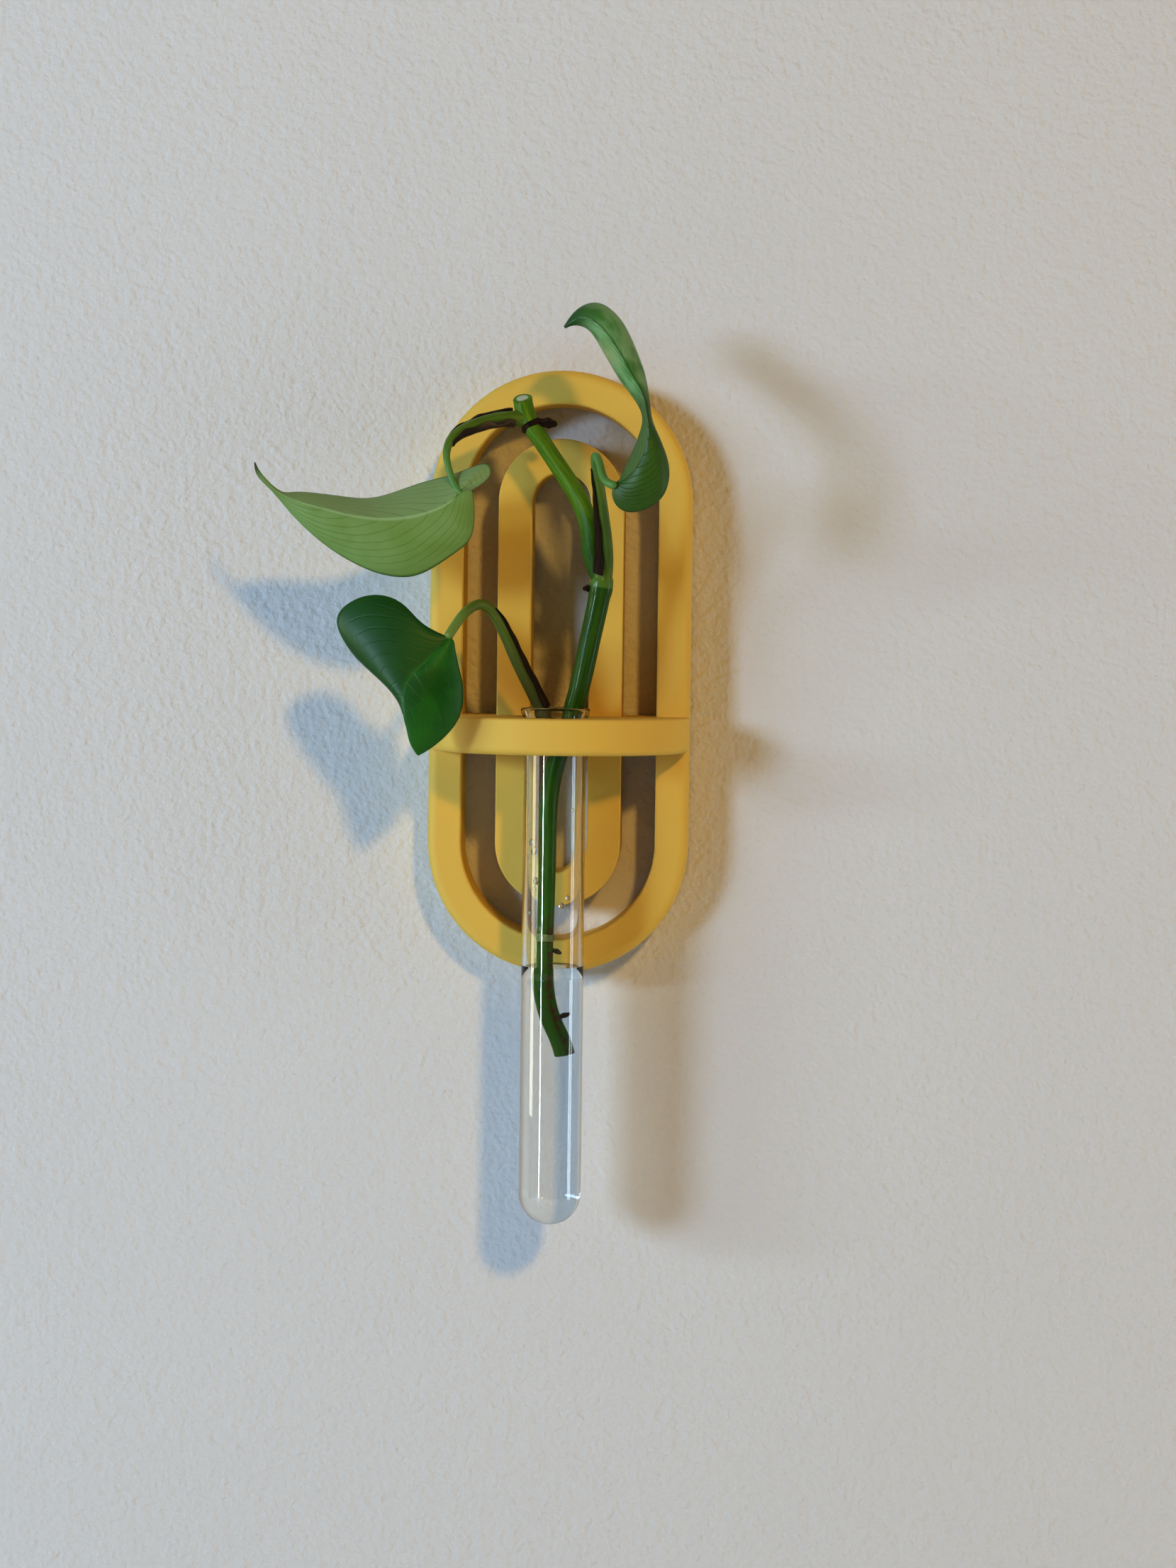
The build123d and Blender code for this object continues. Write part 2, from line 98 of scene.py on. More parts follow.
def smooth_through(stops: np.ndarray, knots: np.ndarray, at: np.ndarray) -> np.ndarray:
    """Runs a natural cubic spline through the knots.

    At each inner knot the left run times the left bend, plus twice both runs times its own bend, plus the
    right run times the right bend, equals six times the change of slope.

    Args:
        stops: rising parameter of each knot.
        knots: one row of values for each knot.
        at: parameters to work out.

    Returns:
        One row of values for each parameter.
    """
    runs = np.diff(stops)
    slopes = np.diff(knots, axis=0) / runs[:, None]
    count = len(stops)
    system = np.eye(count)
    inner = np.arange(1, count - 1)
    system[inner, inner - 1] = runs[:-1]
    system[inner, inner] = 2 * (runs[:-1] + runs[1:])
    system[inner, inner + 1] = runs[1:]
    wanted = np.zeros_like(knots, dtype=float)
    wanted[1:-1] = 6 * np.diff(slopes, axis=0)
    bends = np.linalg.solve(system, wanted)
    left = np.clip(np.searchsorted(stops, at, side="right") - 1, 0, count - 2)
    run = runs[left][:, None]
    after = ((at - stops[left]) / runs[left])[:, None]
    before = 1 - after
    cubic = (before**3 - before) * bends[left] + (after**3 - after) * bends[left + 1]
    return before * knots[left] + after * knots[left + 1] + cubic * run**2 / 6


def smooth_path(knots: Sequence[Row], count: int) -> np.ndarray:
    """This many points at even shares along a smooth curve through the knots."""
    places = np.array(knots, dtype=float)
    return smooth_through(chord_stops(places), places, shares(count))


def at_share(path: np.ndarray, share: float) -> np.ndarray:
    """The point at a share of a path whose points are evenly spread."""
    return smooth_through(shares(len(path)), path, np.array([share]))[0]


def unit(rows: np.ndarray) -> np.ndarray:
    """Each row divided by its own length."""
    return rows / np.linalg.norm(rows, axis=-1, keepdims=True)


def path_frames(path: np.ndarray) -> tuple[np.ndarray, np.ndarray, np.ndarray]:
    """Directions along a path that starts out along the wall.

    Forwards is the slope of the path. Sideways starts as forwards crossed with the wall's normal, and each
    next one is the one before it less its part along the new slope. The third is the first two crossed.

    Args:
        path: points along the path.

    Returns:
        The directions forwards, sideways and towards the viewer at each point.
    """
    forwards = unit(np.gradient(path, axis=0))
    sideways = np.empty_like(forwards)
    sideways[0] = unit(np.cross(forwards[0], (0.0, 1.0, 0.0)))
    for row in range(1, len(path)):
        carried = sideways[row - 1]
        sideways[row] = unit(carried - forwards[row] * (carried @ forwards[row]))
    return forwards, sideways, np.cross(forwards, sideways)


def make_piece(name: str, grid: np.ndarray, chart: np.ndarray,
               column_slots: np.ndarray | None = None) -> Piece:
    """Closes a grid of points into a skin with a pole at both ends, faces outwards.

    The columns go round and join up, and a fan closes the first and the last row to its middle. The volume
    under the skin, a third of the sum of each corner dotted with its face's area, tells which way is out.

    Args:
        name: the piece's name.
        grid: rows by columns by 3, in metres.
        chart: rows by columns plus one by 2, each point's UV place, with the seam's second side last.
        column_slots: the material slot of each column of faces, or None for slot 0 everywhere.

    Returns:
        The new object, linked to the scene.
    """
    rows, columns = grid.shape[:2]
    verts = np.concatenate((grid.reshape(-1, 3), grid[0].mean(0)[None], grid[-1].mean(0)[None]))
    point = np.arange(rows * columns).reshape(rows, columns)
    onwards = np.roll(point, -1, axis=1)
    first_pole, last_pole = (np.full(columns, point.size + pole) for pole in (0, 1))
    faces = [np.stack((point[:-1], onwards[:-1], onwards[1:], point[1:]), axis=2).reshape(-1, 4),
             np.stack((first_pole, onwards[0], point[0]), axis=1),
             np.stack((last_pole, point[-1], onwards[-1]), axis=1)]
    here, there = chart[:, :-1], chart[:, 1:]
    middle = (here + there) / 2
    charts = [np.stack((here[:-1], there[:-1], there[1:], here[1:]), axis=2).reshape(-1, 4, 2),
              np.stack((middle[0], there[0], here[0]), axis=1),
              np.stack((middle[-1], here[-1], there[-1]), axis=1)]
    corners = verts[faces[0]]
    area = np.cross(corners[:, 2] - corners[:, 0], corners[:, 3] - corners[:, 1])
    if (corners.mean(1) * area).sum() < 0:
        faces = [part[:, ::-1] for part in faces]
        charts = [part[:, ::-1] for part in charts]
    mesh = bpy.data.meshes.new(name)
    mesh.from_pydata(verts.tolist(), [], [face for part in faces for face in part.tolist()])
    places = np.concatenate([part.reshape(-1, 2) for part in charts])
    mesh.uv_layers.new(name="chart").data.foreach_set("uv", places.astype(np.float32).ravel())
    if column_slots is not None:
        mesh.polygons.foreach_set("material_index", np.tile(column_slots, rows + 1).astype(np.int32))
    mesh.polygons.foreach_set("use_smooth", np.ones(len(mesh.polygons), dtype=bool))
    mesh.update()
    piece = bpy.data.objects.new(name, mesh)
    bpy.context.scene.collection.objects.link(piece)
    return piece


def even_chart(rows: np.ndarray, columns: int) -> np.ndarray:
    """A UV chart: the row's share, and a second value that runs evenly from 0 to 1 round the piece."""
    return np.stack(np.meshgrid(rows, shares(columns + 1), indexing="ij"), axis=2)


def stalk_skin(name: str, path: np.ndarray, radii: np.ndarray, start: StalkEnd, end: StalkEnd,
               around: int, flute: float, slant: float = 0.0) -> Piece:
    """A round stalk whose skin follows a path.

    A point is the path's point plus the radius times the cosine of the turn sideways and its sine towards
    the viewer. The turn starts at the back, so the seam is hidden. Three low waves swell the radius. Near
    the last end the points move back by the slant times their own reach towards the viewer.

    Args:
        name: the piece's name.
        path: points along the middle, in millimetres.
        radii: radius at each point, in millimetres.
        start: how the first end is closed.
        end: how the last end is closed.
        around: how many columns go round.
        flute: height of the waves as a share of the radius.
        slant: slope of the last end's cut, which faces the viewer where it is above 0.

    Returns:
        The stalk's object.
    """
    slant_from, waves_round, waves_turn = 0.93, 3, 5
    path, radii = path * MM, radii * MM
    forwards, sideways, nearer = path_frames(path)
    first_rows, last_rows = np.array(start.value), np.array(end.value)
    row_of = np.concatenate((np.zeros(len(first_rows), int), np.arange(len(path)),
                             np.full(len(last_rows), len(path) - 1)))
    along = chord_stops(path)[row_of]
    factors = np.concatenate((first_rows[::-1, 0], np.ones(len(path)), last_rows[:, 0]))
    advance = np.concatenate((-first_rows[::-1, 1], np.zeros(len(path)), last_rows[:, 1])) * radii[row_of]
    turn = turns(around) - math.pi / 2
    waves = 1 + flute * np.sin(waves_round * turn[None, :] + waves_turn * along[:, None])
    reach = (radii[row_of] * factors)[:, None] * waves
    ramp = slant * np.clip((along - slant_from) / (1 - slant_from), 0, 1)
    back = advance[:, None] - ramp[:, None] * reach * np.sin(turn)
    grid = (path[row_of][:, None] + forwards[row_of][:, None] * back[..., None]
            + reach[..., None] * (np.cos(turn)[None, :, None] * sideways[row_of][:, None]
                                  + np.sin(turn)[None, :, None] * nearer[row_of][:, None]))
    return make_piece(name, grid, even_chart(along + advance / runs_of(path).sum(), around))


def turned_skin(name: str, profile: np.ndarray, axis_y: float, around: int) -> Piece:
    """A profile turned about an upright axis: each point's radius times the cosine and sine of the turn.

    Args:
        name: the piece's name.
        profile: rows of (radius, height) in metres, starting and ending close to the axis.
        axis_y: how far the axis stands in front of the wall, as its y in metres.
        around: how many columns go round.

    Returns:
        The turned piece.
    """
    turn = turns(around)
    radius, height = profile[:, 0][:, None], profile[:, 1][:, None]
    grid = np.stack((radius * np.cos(turn), axis_y + radius * np.sin(turn),
                     np.broadcast_to(height, (len(profile), around))), axis=2)
    return make_piece(name, grid, even_chart(chord_stops(profile), around))


def arc(centre: Row, radius: float, start_deg: float, end_deg: float, count: int) -> np.ndarray:
    """Points (radius, height) on a circle from one angle to the other, the radius's angle being 0."""
    angle = np.radians(np.linspace(start_deg, end_deg, count))
    return np.stack((centre[0] + radius * np.cos(angle), centre[1] + radius * np.sin(angle)), axis=1)


# Shader nodes


class Bench:
    """Lays out the nodes of one tree and joins their sockets."""

    def __init__(self, tree: bpy.types.NodeTree) -> None:
        """Works on the given tree."""
        self.tree = tree

    def put(self, kind: str, inputs: dict[str | int, object] | None = None, **settings: object) -> Node:
        """Adds a node.

        Args:
            kind: the node's type, without the word ShaderNode.
            inputs: a value or another node's output for each input, by name or number.
            settings: the node's own properties.

        Returns:
            The new node.
        """
        node = self.tree.nodes.new("ShaderNode" + kind)
        for name, value in settings.items():
            setattr(node, name, value)
        for name, value in (inputs or {}).items():
            self.feed(node.inputs[name], value)
        return node

    def feed(self, socket: Socket, value: object) -> None:
        """Joins an output to a socket, or sets the socket to a plain value.

        Args:
            socket: the input to feed.
            value: another node's output, a number or a colour.
        """
        if isinstance(value, Socket):
            self.tree.links.new(value, socket)
        elif isinstance(value, tuple) and len(value) == 3 and socket.type == "RGBA":
            socket.default_value = (*value, 1.0)
        else:
            socket.default_value = value

    def give(self, node: Node, **values: object) -> None:
        """Feeds a node's inputs by name, with an underscore for each space."""
        for name, value in values.items():
            self.feed(node.inputs[name.replace("_", " ")], value)

    def step(self, operation: str, *values: object) -> Socket:
        """The result of one step of arithmetic on up to three values."""
        return self.put("Math", dict(enumerate(values)), operation=operation).outputs[0]

    def times(self, first: object, second: object) -> Socket:
        """One value times another."""
        return self.step("MULTIPLY", first, second)

    def plus(self, first: object, second: object) -> Socket:
        """One value plus another."""
        return self.step("ADD", first, second)

    def off(self, value: object, middle: float) -> Socket:
        """How far a value is from the middle, whichever side it lies on."""
        return self.step("ABSOLUTE", self.step("SUBTRACT", value, middle))

    def blend(self, share: object, low: object, high: object) -> Socket:
        """A colour between low and high."""
        return self.put("Mix", {0: share, 6: low, 7: high}, data_type="RGBA").outputs[2]

    def between(self, share: object, low: float, high: float) -> Socket:
        """A number between low and high."""
        return self.put("MapRange", {"Value": share, "To Min": low, "To Max": high}).outputs[0]

    def window(self, value: object, low: object, high: object) -> Socket:
        """A mask that climbs smoothly from 0 at low to 1 at high, or falls where low is the larger."""
        return self.put("MapRange", {"Value": value, "From Min": low, "From Max": high},
                        interpolation_type="SMOOTHSTEP").outputs[0]

    def noise(self, place: object, scale: object, detail: float = 3.0) -> Socket:
        """Noise from 0 to 1 at the given place."""
        return self.put("TexNoise", {"Vector": place, "Scale": scale, "Detail": detail}).outputs[0]

    def place(self) -> Socket:
        """The point's place in the object's own frame, in metres."""
        return self.put("TexCoord").outputs["Object"]

    def chart(self) -> tuple[Socket, Socket]:
        """The two values of the piece's own UV map."""
        split = self.put("SeparateXYZ", {0: self.put("TexCoord").outputs["UV"]})
        return split.outputs[0], split.outputs[1]

    def vector(self, x: object, y: object, z: object) -> Socket:
        """Three values joined into one."""
        return self.put("CombineXYZ", {0: x, 1: y, 2: z}).outputs[0]

    def bump(self, height: object, distance: float) -> Socket:
        """A normal bent by a height that is multiplied by distance, in metres."""
        return self.put("Bump", {"Height": height, "Distance": distance, "Strength": 1.0}).outputs[0]


@dataclass(frozen=True)
class Effect:
    """A shader node group, built once and shared by the materials that place it.

    inputs names each number that goes in and outputs each value that comes out. recipe takes the group's
    bench and the sockets of its inputs by name. It makes the nodes and gives each output's socket by name.
    """

    name: str
    inputs: Sequence[str]
    outputs: Sequence[str]
    recipe: Callable[[Bench, Sockets], Sockets]

    def tree(self) -> bpy.types.NodeTree:
        """Makes the group's tree on first use.

        Returns:
            The tree.
        """
        ready = bpy.data.node_groups.get(self.name)
        if ready:
            return ready
        group = bpy.data.node_groups.new(self.name, "ShaderNodeTree")
        for names, direction in ((self.inputs, "INPUT"), (self.outputs, "OUTPUT")):
            for name in names:
                group.interface.new_socket(name, in_out=direction, socket_type="NodeSocketFloat")
        entry = group.nodes.new("NodeGroupInput")
        leave = group.nodes.new("NodeGroupOutput")
        results = self.recipe(Bench(group), {name: entry.outputs[name] for name in self.inputs})
        for name, socket in results.items():
            group.links.new(socket, leave.inputs[name])
        return group

    def on(self, bench: Bench, **values: float) -> Sockets:
        """Places the group in a material.

        Args:
            bench: the material's bench.
            values: a value for each input, by name, with an underscore for each space.

        Returns:
            The group's outputs by name.
        """
        node = bench.tree.nodes.new("ShaderNodeGroup")
        node.node_tree = self.tree()
        bench.give(node, **values)
        return {name: node.outputs[name] for name in self.outputs}


def grain_recipe(bench: Bench, given: Sockets) -> Sockets:
    """Fine grain and slow mottling by two sizes of noise at the point's own place."""
    place = bench.place()
    fine = bench.noise(place, given["Fine scale"], detail=4.0)
    slow = bench.noise(place, given["Slow scale"], detail=2.0)
    return {"Fine": fine, "Slow": bench.window(slow, low=0.3, high=0.7)}


def streak_recipe(bench: Bench, given: Sockets) -> Sockets:
    """Long streaks on a stalk: noise on the chart, stretched along the stalk and joined up round it.

    The share round the stalk becomes the cosine and sine of the turn, so no seam shows.
    """
    along, round_share = bench.chart()
    turn = bench.times(round_share, 2 * math.pi)
    wide = bench.vector(bench.times(bench.step("COSINE", turn), given["Round scale"]),
                        bench.times(bench.step("SINE", turn), given["Round scale"]),
                        bench.times(along, given["Along scale"]))
    streaks = bench.noise(wide, scale=1.0)
    patches = bench.noise(wide, scale=0.35, detail=1.0)
    return {"Streaks": bench.window(streaks, low=0.35, high=0.65),
            "Patches": bench.window(patches, low=0.4, high=0.6)}


def vein_recipe(bench: Bench, given: Sockets) -> Sockets:
    """Leaf veins on the chart: a midrib down the middle, and side veins that leave it and sweep to the tip.

    A side vein is where the share along the leaf, less the sweep times the bent distance from the midrib,
    times the count, is a whole number and a half. A little noise keeps the veins from being even.
    """
    bend, wobble, whole_turns, fade_from, edge_from = 1.3, 0.08, 8.0, 0.75, 0.93
    along, across = bench.chart()
    out = bench.times(bench.off(across, 0.5), 2.0)
    spread = bench.vector(bench.times(along, 5.0), bench.times(across, 4.0), 0.0)
    wander = bench.noise(spread, scale=1.0)
    swept = bench.step("SUBTRACT", along, bench.times(bench.step("POWER", out, bend), given["Sweep"]))
    count = bench.times(bench.plus(swept, bench.times(wander, wobble)), given["Count"])
    near = bench.off(bench.step("FRACT", bench.plus(count, whole_turns)), 0.5)
    veins = bench.window(near, given["Width"], 0.0)
    return {"Veins": bench.times(veins, bench.window(out, 1.0, fade_from)),
            "Midrib": bench.window(out, given["Midrib width"], 0.0),
            "Edge": bench.window(out, edge_from, 1.0), "Wander": wander}


GRAIN = Effect("grain", ("Fine scale", "Slow scale"), ("Fine", "Slow"), grain_recipe)
STREAKS = Effect("streaks", ("Round scale", "Along scale"), ("Streaks", "Patches"), streak_recipe)
VEINS = Effect("leaf_veins", ("Count", "Sweep", "Width", "Midrib width"),
               ("Veins", "Midrib", "Edge", "Wander"), vein_recipe)


# Finishes


@dataclass(frozen=True)
class Finish:
    """What every finish has: its name and how matt and how bright its gloss is.

    smoother and rougher say how far the roughness strays below and above its middle value.
    """

    name: str
    roughness: float = 0.5
    specular: float = 0.5
    smoother: float = 0.0
    rougher: float = 0.0

    def dress(self, bench: Bench, shader: Node) -> None:
        """Adds this finish's own nodes. Each kind of finish has its own.

        Args:
            bench: the material's bench.
            shader: the material's Principled shader.
        """

    def uneven_roughness(self, bench: Bench, mask: Socket) -> Socket:
        """The roughness, which strays with the mask."""
        return bench.between(mask, self.roughness - self.smoother, self.roughness + self.rougher)

    def material(self) -> bpy.types.Material:
        """Makes the finish's material on first use.

        Returns:
            The material.
        """
        ready = bpy.data.materials.get(self.name)
        if ready:
            return ready
        material = bpy.data.materials.new(self.name)
        material.use_nodes = True
        bench = Bench(material.node_tree)
        shader = material.node_tree.nodes["Principled BSDF"]
        bench.give(shader, Roughness=self.roughness, Specular_IOR_Level=self.specular)
        self.dress(bench, shader)
        return material


def dimmed(colour: Colour, share: float) -> Colour:
    """The colour times a share."""
    return tuple(share * value for value in colour)


@dataclass(frozen=True)
class PrintedPlastic(Finish):
    """Silky printed plastic in layers that lie parallel to the wall."""

    light: Colour = (0.8, 0.49, 0.034)
    deep: Colour = (0.6, 0.33, 0.014)
    smoother: float = 0.07
    rougher: float = 0.09
    layer: float = 0.2 * MM
    layer_tone: float = 0.6
    layer_gloss: float = 0.16
    groove_from: float = 0.36
    groove_height: float = 0.8
    grain_depth: float = 0.016 * MM

    def dress(self, bench: Bench, shader: Node) -> None:
        """Gives each layer its own tone and gloss, and adds its groove and a fine grain."""
        place = bench.put("SeparateXYZ", {0: bench.place()})
        layers = bench.step("DIVIDE", place.outputs[1], self.layer)
        number = bench.step("FLOOR", layers)
        tone = bench.put("TexWhiteNoise", {"W": number}, noise_dimensions="1D").outputs[0]
        grain = GRAIN.on(bench, Fine_scale=1600.0, Slow_scale=55.0)
        mottle = bench.times(grain["Slow"], 1 - self.layer_tone)
        share = bench.plus(bench.times(tone, self.layer_tone), mottle)
        dull = bench.times(bench.step("SUBTRACT", tone, 0.5), self.layer_gloss)
        groove = bench.window(bench.off(bench.step("FRACT", layers), 0.5), 0.5, self.groove_from)
        height = bench.plus(bench.times(groove, self.groove_height), grain["Fine"])
        bench.give(shader, Base_Color=bench.blend(share, self.light, self.deep),
                   Roughness=bench.plus(self.uneven_roughness(bench, grain["Fine"]), dull),
                   Normal=bench.bump(height, self.grain_depth))


@dataclass(frozen=True)
class Steel(Finish):
    """Plain zinc plated steel with faint turning marks."""

    colour: Colour = (0.62, 0.62, 0.64)
    dark_share: float = 0.8
    smoother: float = 0.1
    rougher: float = 0.1
    mark_depth: float = 0.01 * MM

    def dress(self, bench: Bench, shader: Node) -> None:
        """Varies colour and roughness with a fine grain."""
        grain = GRAIN.on(bench, Fine_scale=2500.0, Slow_scale=300.0)
        bench.give(shader, Metallic=1.0,
                   Base_Color=bench.blend(grain["Slow"], self.colour, dimmed(self.colour, self.dark_share)),
                   Roughness=self.uneven_roughness(bench, grain["Fine"]),
                   Normal=bench.bump(grain["Fine"], self.mark_depth))


@dataclass(frozen=True)
class Foam(Finish):
    """White closed cell foam."""

    colour: Colour = (0.8, 0.8, 0.77)
    dark_share: float = 0.72
    pit_shade_share: float = 0.5
    mottle_tone: float = 0.3
    pit_depth: float = 0.08 * MM

    def dress(self, bench: Bench, shader: Node) -> None:
        """Shows small cells as pits, with painted shade that makes them a little darker."""
        cells = bench.put("TexVoronoi", {"Vector": bench.place(), "Scale": 2200.0}).outputs[0]
        grain = GRAIN.on(bench, Fine_scale=1500.0, Slow_scale=120.0)
        # Painted shade: the cell pits are darkened.
        painted_pit_shade = bench.times(bench.window(cells, 0.6, 0.1), self.pit_shade_share)
        share = bench.plus(painted_pit_shade, bench.times(grain["Slow"], self.mottle_tone))
        bench.give(shader, Base_Color=bench.blend(share, self.colour, dimmed(self.colour, self.dark_share)),
                   Normal=bench.bump(cells, self.pit_depth))


@dataclass(frozen=True)
class Clear(Finish):
    """A clear material: glass or water."""

    ior: float = 1.47
    tint: Colour = (0.985, 0.995, 0.99)
    faint_share: float = 0.99
    smudge: float = 0.02

    def dress(self, bench: Bench, shader: Node) -> None:
        """Lets light through, with faint smudges in the gloss."""
        grain = GRAIN.on(bench, Fine_scale=120.0, Slow_scale=60.0)
        bench.give(shader, Transmission_Weight=1.0, IOR=self.ior,
                   Base_Color=bench.blend(grain["Slow"], self.tint, dimmed(self.tint, self.faint_share)),
                   Roughness=bench.between(grain["Fine"], 0.0, self.smudge))


@dataclass(frozen=True, kw_only=True)
class StalkSkin(Finish):
    """Glossy plant skin with long streaks, a paler end and a brown dried line where one is wanted."""

    base: Colour
    streak: Colour
    start_colour: Colour = (0.11, 0.3, 0.03)
    start_share: float = 1.0
    start_from: float = 0.0
    start_to: float = 0.0
    end_colour: Colour
    end_from: float
    end_to: float
    scar: Colour = (0.13, 0.06, 0.02)
    scar_to: float = 0.0
    scar_turn: float = 0.6
    scar_half: float = 0.1
    scar_fade: float = 0.02
    smoother: float = 0.06
    rougher: float = 0.08
    coat: float
    coat_roughness: float = 0.12
    streak_tone: float = 0.8
    streak_depth: float = 0.05 * MM
    grain_height: float = 0.5

    def dress(self, bench: Bench, shader: Node) -> None:
        """Colours the skin along its length and round it."""
        along, round_share = bench.chart()
        streaks = STREAKS.on(bench, Round_scale=3.0, Along_scale=7.0)
        grain = GRAIN.on(bench, Fine_scale=2200.0, Slow_scale=260.0)
        colour = bench.blend(bench.times(streaks["Streaks"], self.streak_tone), self.base, self.streak)
        if self.start_to > self.start_from:
            near_start = bench.window(along, self.start_to, self.start_from)
            colour = bench.blend(bench.times(near_start, self.start_share), colour, self.start_colour)
        colour = bench.blend(bench.window(along, self.end_from, self.end_to), colour, self.end_colour)
        if self.scar_to > 0:
            off_line = bench.off(round_share, self.scar_turn)
            line = bench.times(bench.window(off_line, self.scar_half, self.scar_fade),
                               bench.window(along, self.scar_to, self.scar_to - self.scar_fade))
            broken = bench.window(bench.noise(bench.place(), scale=900.0), low=0.42, high=0.56)
            colour = bench.blend(bench.times(line, broken), colour, self.scar)
        height = bench.plus(streaks["Streaks"], bench.times(grain["Fine"], self.grain_height))
        bench.give(shader, Coat_Weight=self.coat, Coat_Roughness=self.coat_roughness, Base_Color=colour,
                   Roughness=self.uneven_roughness(bench, streaks["Patches"]),
                   Normal=bench.bump(height, self.streak_depth))


@dataclass(frozen=True, kw_only=True)
class Husk(Finish):
    """Dry, papery or woody plant matter: streaks along it, dark free edges and a darker tip."""

    base: Colour
    dark: Colour
    edge: Colour = (0.008, 0.005, 0.003)
    edge_share: float = 0.0
    tip_from: float = 1.0
    tip_fade: float = 0.3
    streak_depth: float = 0.12 * MM

    def dress(self, bench: Bench, shader: Node) -> None:
        """Streaks the husk. Its free edges are where twice the share round it is a whole number."""
        along, round_share = bench.chart()
        streaks = STREAKS.on(bench, Round_scale=5.0, Along_scale=5.0)
        grain = GRAIN.on(bench, Fine_scale=1500.0, Slow_scale=300.0)
        colour = bench.blend(streaks["Streaks"], self.base, self.dark)
        if self.tip_from < 1:
            near_tip = bench.window(along, self.tip_from, self.tip_from + self.tip_fade)
            colour = bench.blend(near_tip, colour, self.dark)
        if self.edge_share > 0:
            off_middle = bench.off(bench.step("FRACT", bench.times(round_share, 2.0)), 0.5)
            colour = bench.blend(bench.window(off_middle, 0.5 - self.edge_share, 0.5), colour, self.edge)
        height = bench.plus(streaks["Streaks"], grain["Fine"])
        bench.give(shader, Base_Color=colour, Normal=bench.bump(height, self.streak_depth))


@dataclass(frozen=True, kw_only=True)
class LeafSkin(Finish):
    """One side of a leaf, with its midrib, side veins, mottling and edge, and painted shading on its first
    half.
    """

    base: Colour
    light: Colour
    # The first half's colour is painted shading, lighter or darker as light falls on that half, blended in
    # by first_share.
    first_half_painted_shading: Colour
    first_share: float
    vein: Colour
    midrib: Colour
    edge: Colour
    tip: Colour = (0.02, 0.05, 0.01)
    tip_from: float = 1.0
    vein_share: float
    midrib_share: float
    midrib_width: float = 0.05
    vein_width: float = 0.1
    vein_count: float
    vein_sweep: float
    vein_depth: float = 0.1 * MM
    smoother: float = 0.05
    rougher: float = 0.07
    coat: float
    coat_roughness: float = 0.3
    grain_height: float = 0.25

    def ground(self, bench: Bench, slow: Socket, along: Socket, across: Socket) -> Socket:
        """The blade's own colour: slow mottling, and painted shading that makes the first half lighter or
        darker where one is wanted.

        Args:
            bench: the material's bench.
            slow: the slow mottling.
            along: the share along the blade.
            across: the share across it, with the midrib at a half.

        Returns:
            The colour.
        """
        colour = bench.blend(slow, self.base, self.light)
        # Painted shading: blend the first half towards its lit or shaded tone.
        half = bench.times(bench.window(across, 0.52, 0.46), self.first_share)
        return bench.blend(half, colour, self.first_half_painted_shading)

    def dress(self, bench: Bench, shader: Node) -> None:
        """Layers the mottling, side veins, midrib and edge, and raises the veins a little."""
        along, across = bench.chart()
        veins = VEINS.on(bench, Count=self.vein_count, Sweep=self.vein_sweep, Width=self.vein_width,
                         Midrib_width=self.midrib_width)
        grain = GRAIN.on(bench, Fine_scale=1800.0, Slow_scale=90.0)
        colour = self.ground(bench, grain["Slow"], along, across)
        colour = bench.blend(bench.times(veins["Veins"], self.vein_share), colour, self.vein)
        colour = bench.blend(bench.times(veins["Midrib"], self.midrib_share), colour, self.midrib)
        colour = bench.blend(veins["Edge"], colour, self.edge)
        if self.tip_from < 1:
            colour = bench.blend(bench.window(along, self.tip_from, 1.0), colour, self.tip)
        relief = bench.step("SUBTRACT", bench.times(grain["Fine"], self.grain_height), veins["Veins"])
        bench.give(shader, Coat_Weight=self.coat, Coat_Roughness=self.coat_roughness, Base_Color=colour,
                   Roughness=self.uneven_roughness(bench, veins["Wander"]),
                   Normal=bench.bump(relief, self.vein_depth))


@dataclass(frozen=True)
class TwistedLeafSkin(LeafSkin):
    """A leaf that twists halfway: painted shading makes its two halves differ below the twist, and a
    painted sheen and a pale patch lie above it.
    """

    above: Colour = (0.105, 0.28, 0.055)
    sheen: Colour = (0.265, 0.45, 0.18)
    patch: Colour = (0.42, 0.44, 0.17)
    patch_along: float = 0.69
    patch_reach: float = 0.13
    patch_share: float = 0.7
    twist: float = 0.47
    twist_fade: float = 0.05

    def ground(self, bench: Bench, slow: Socket, along: Socket, across: Socket) -> Socket:
        """Blends from the halves below the twist to a mottled green with a sheen and a yellow patch."""
        below = super().ground(bench, slow, along, across)
        spread = bench.vector(bench.times(along, 5.0), bench.times(across, 1.6), 0.0)
        mottle = bench.window(bench.noise(spread, scale=1.6, detail=2.0), low=0.35, high=0.62)
        upper = bench.blend(mottle, self.above, self.sheen)
        near = bench.off(along, self.patch_along)
        yellow = bench.times(bench.window(near, self.patch_reach, 0.0), bench.window(across, 0.55, 0.15))
        upper = bench.blend(bench.times(yellow, self.patch_share), upper, self.patch)
        twisted = bench.window(along, self.twist - self.twist_fade, self.twist + self.twist_fade)
        return bench.blend(twisted, below, upper)


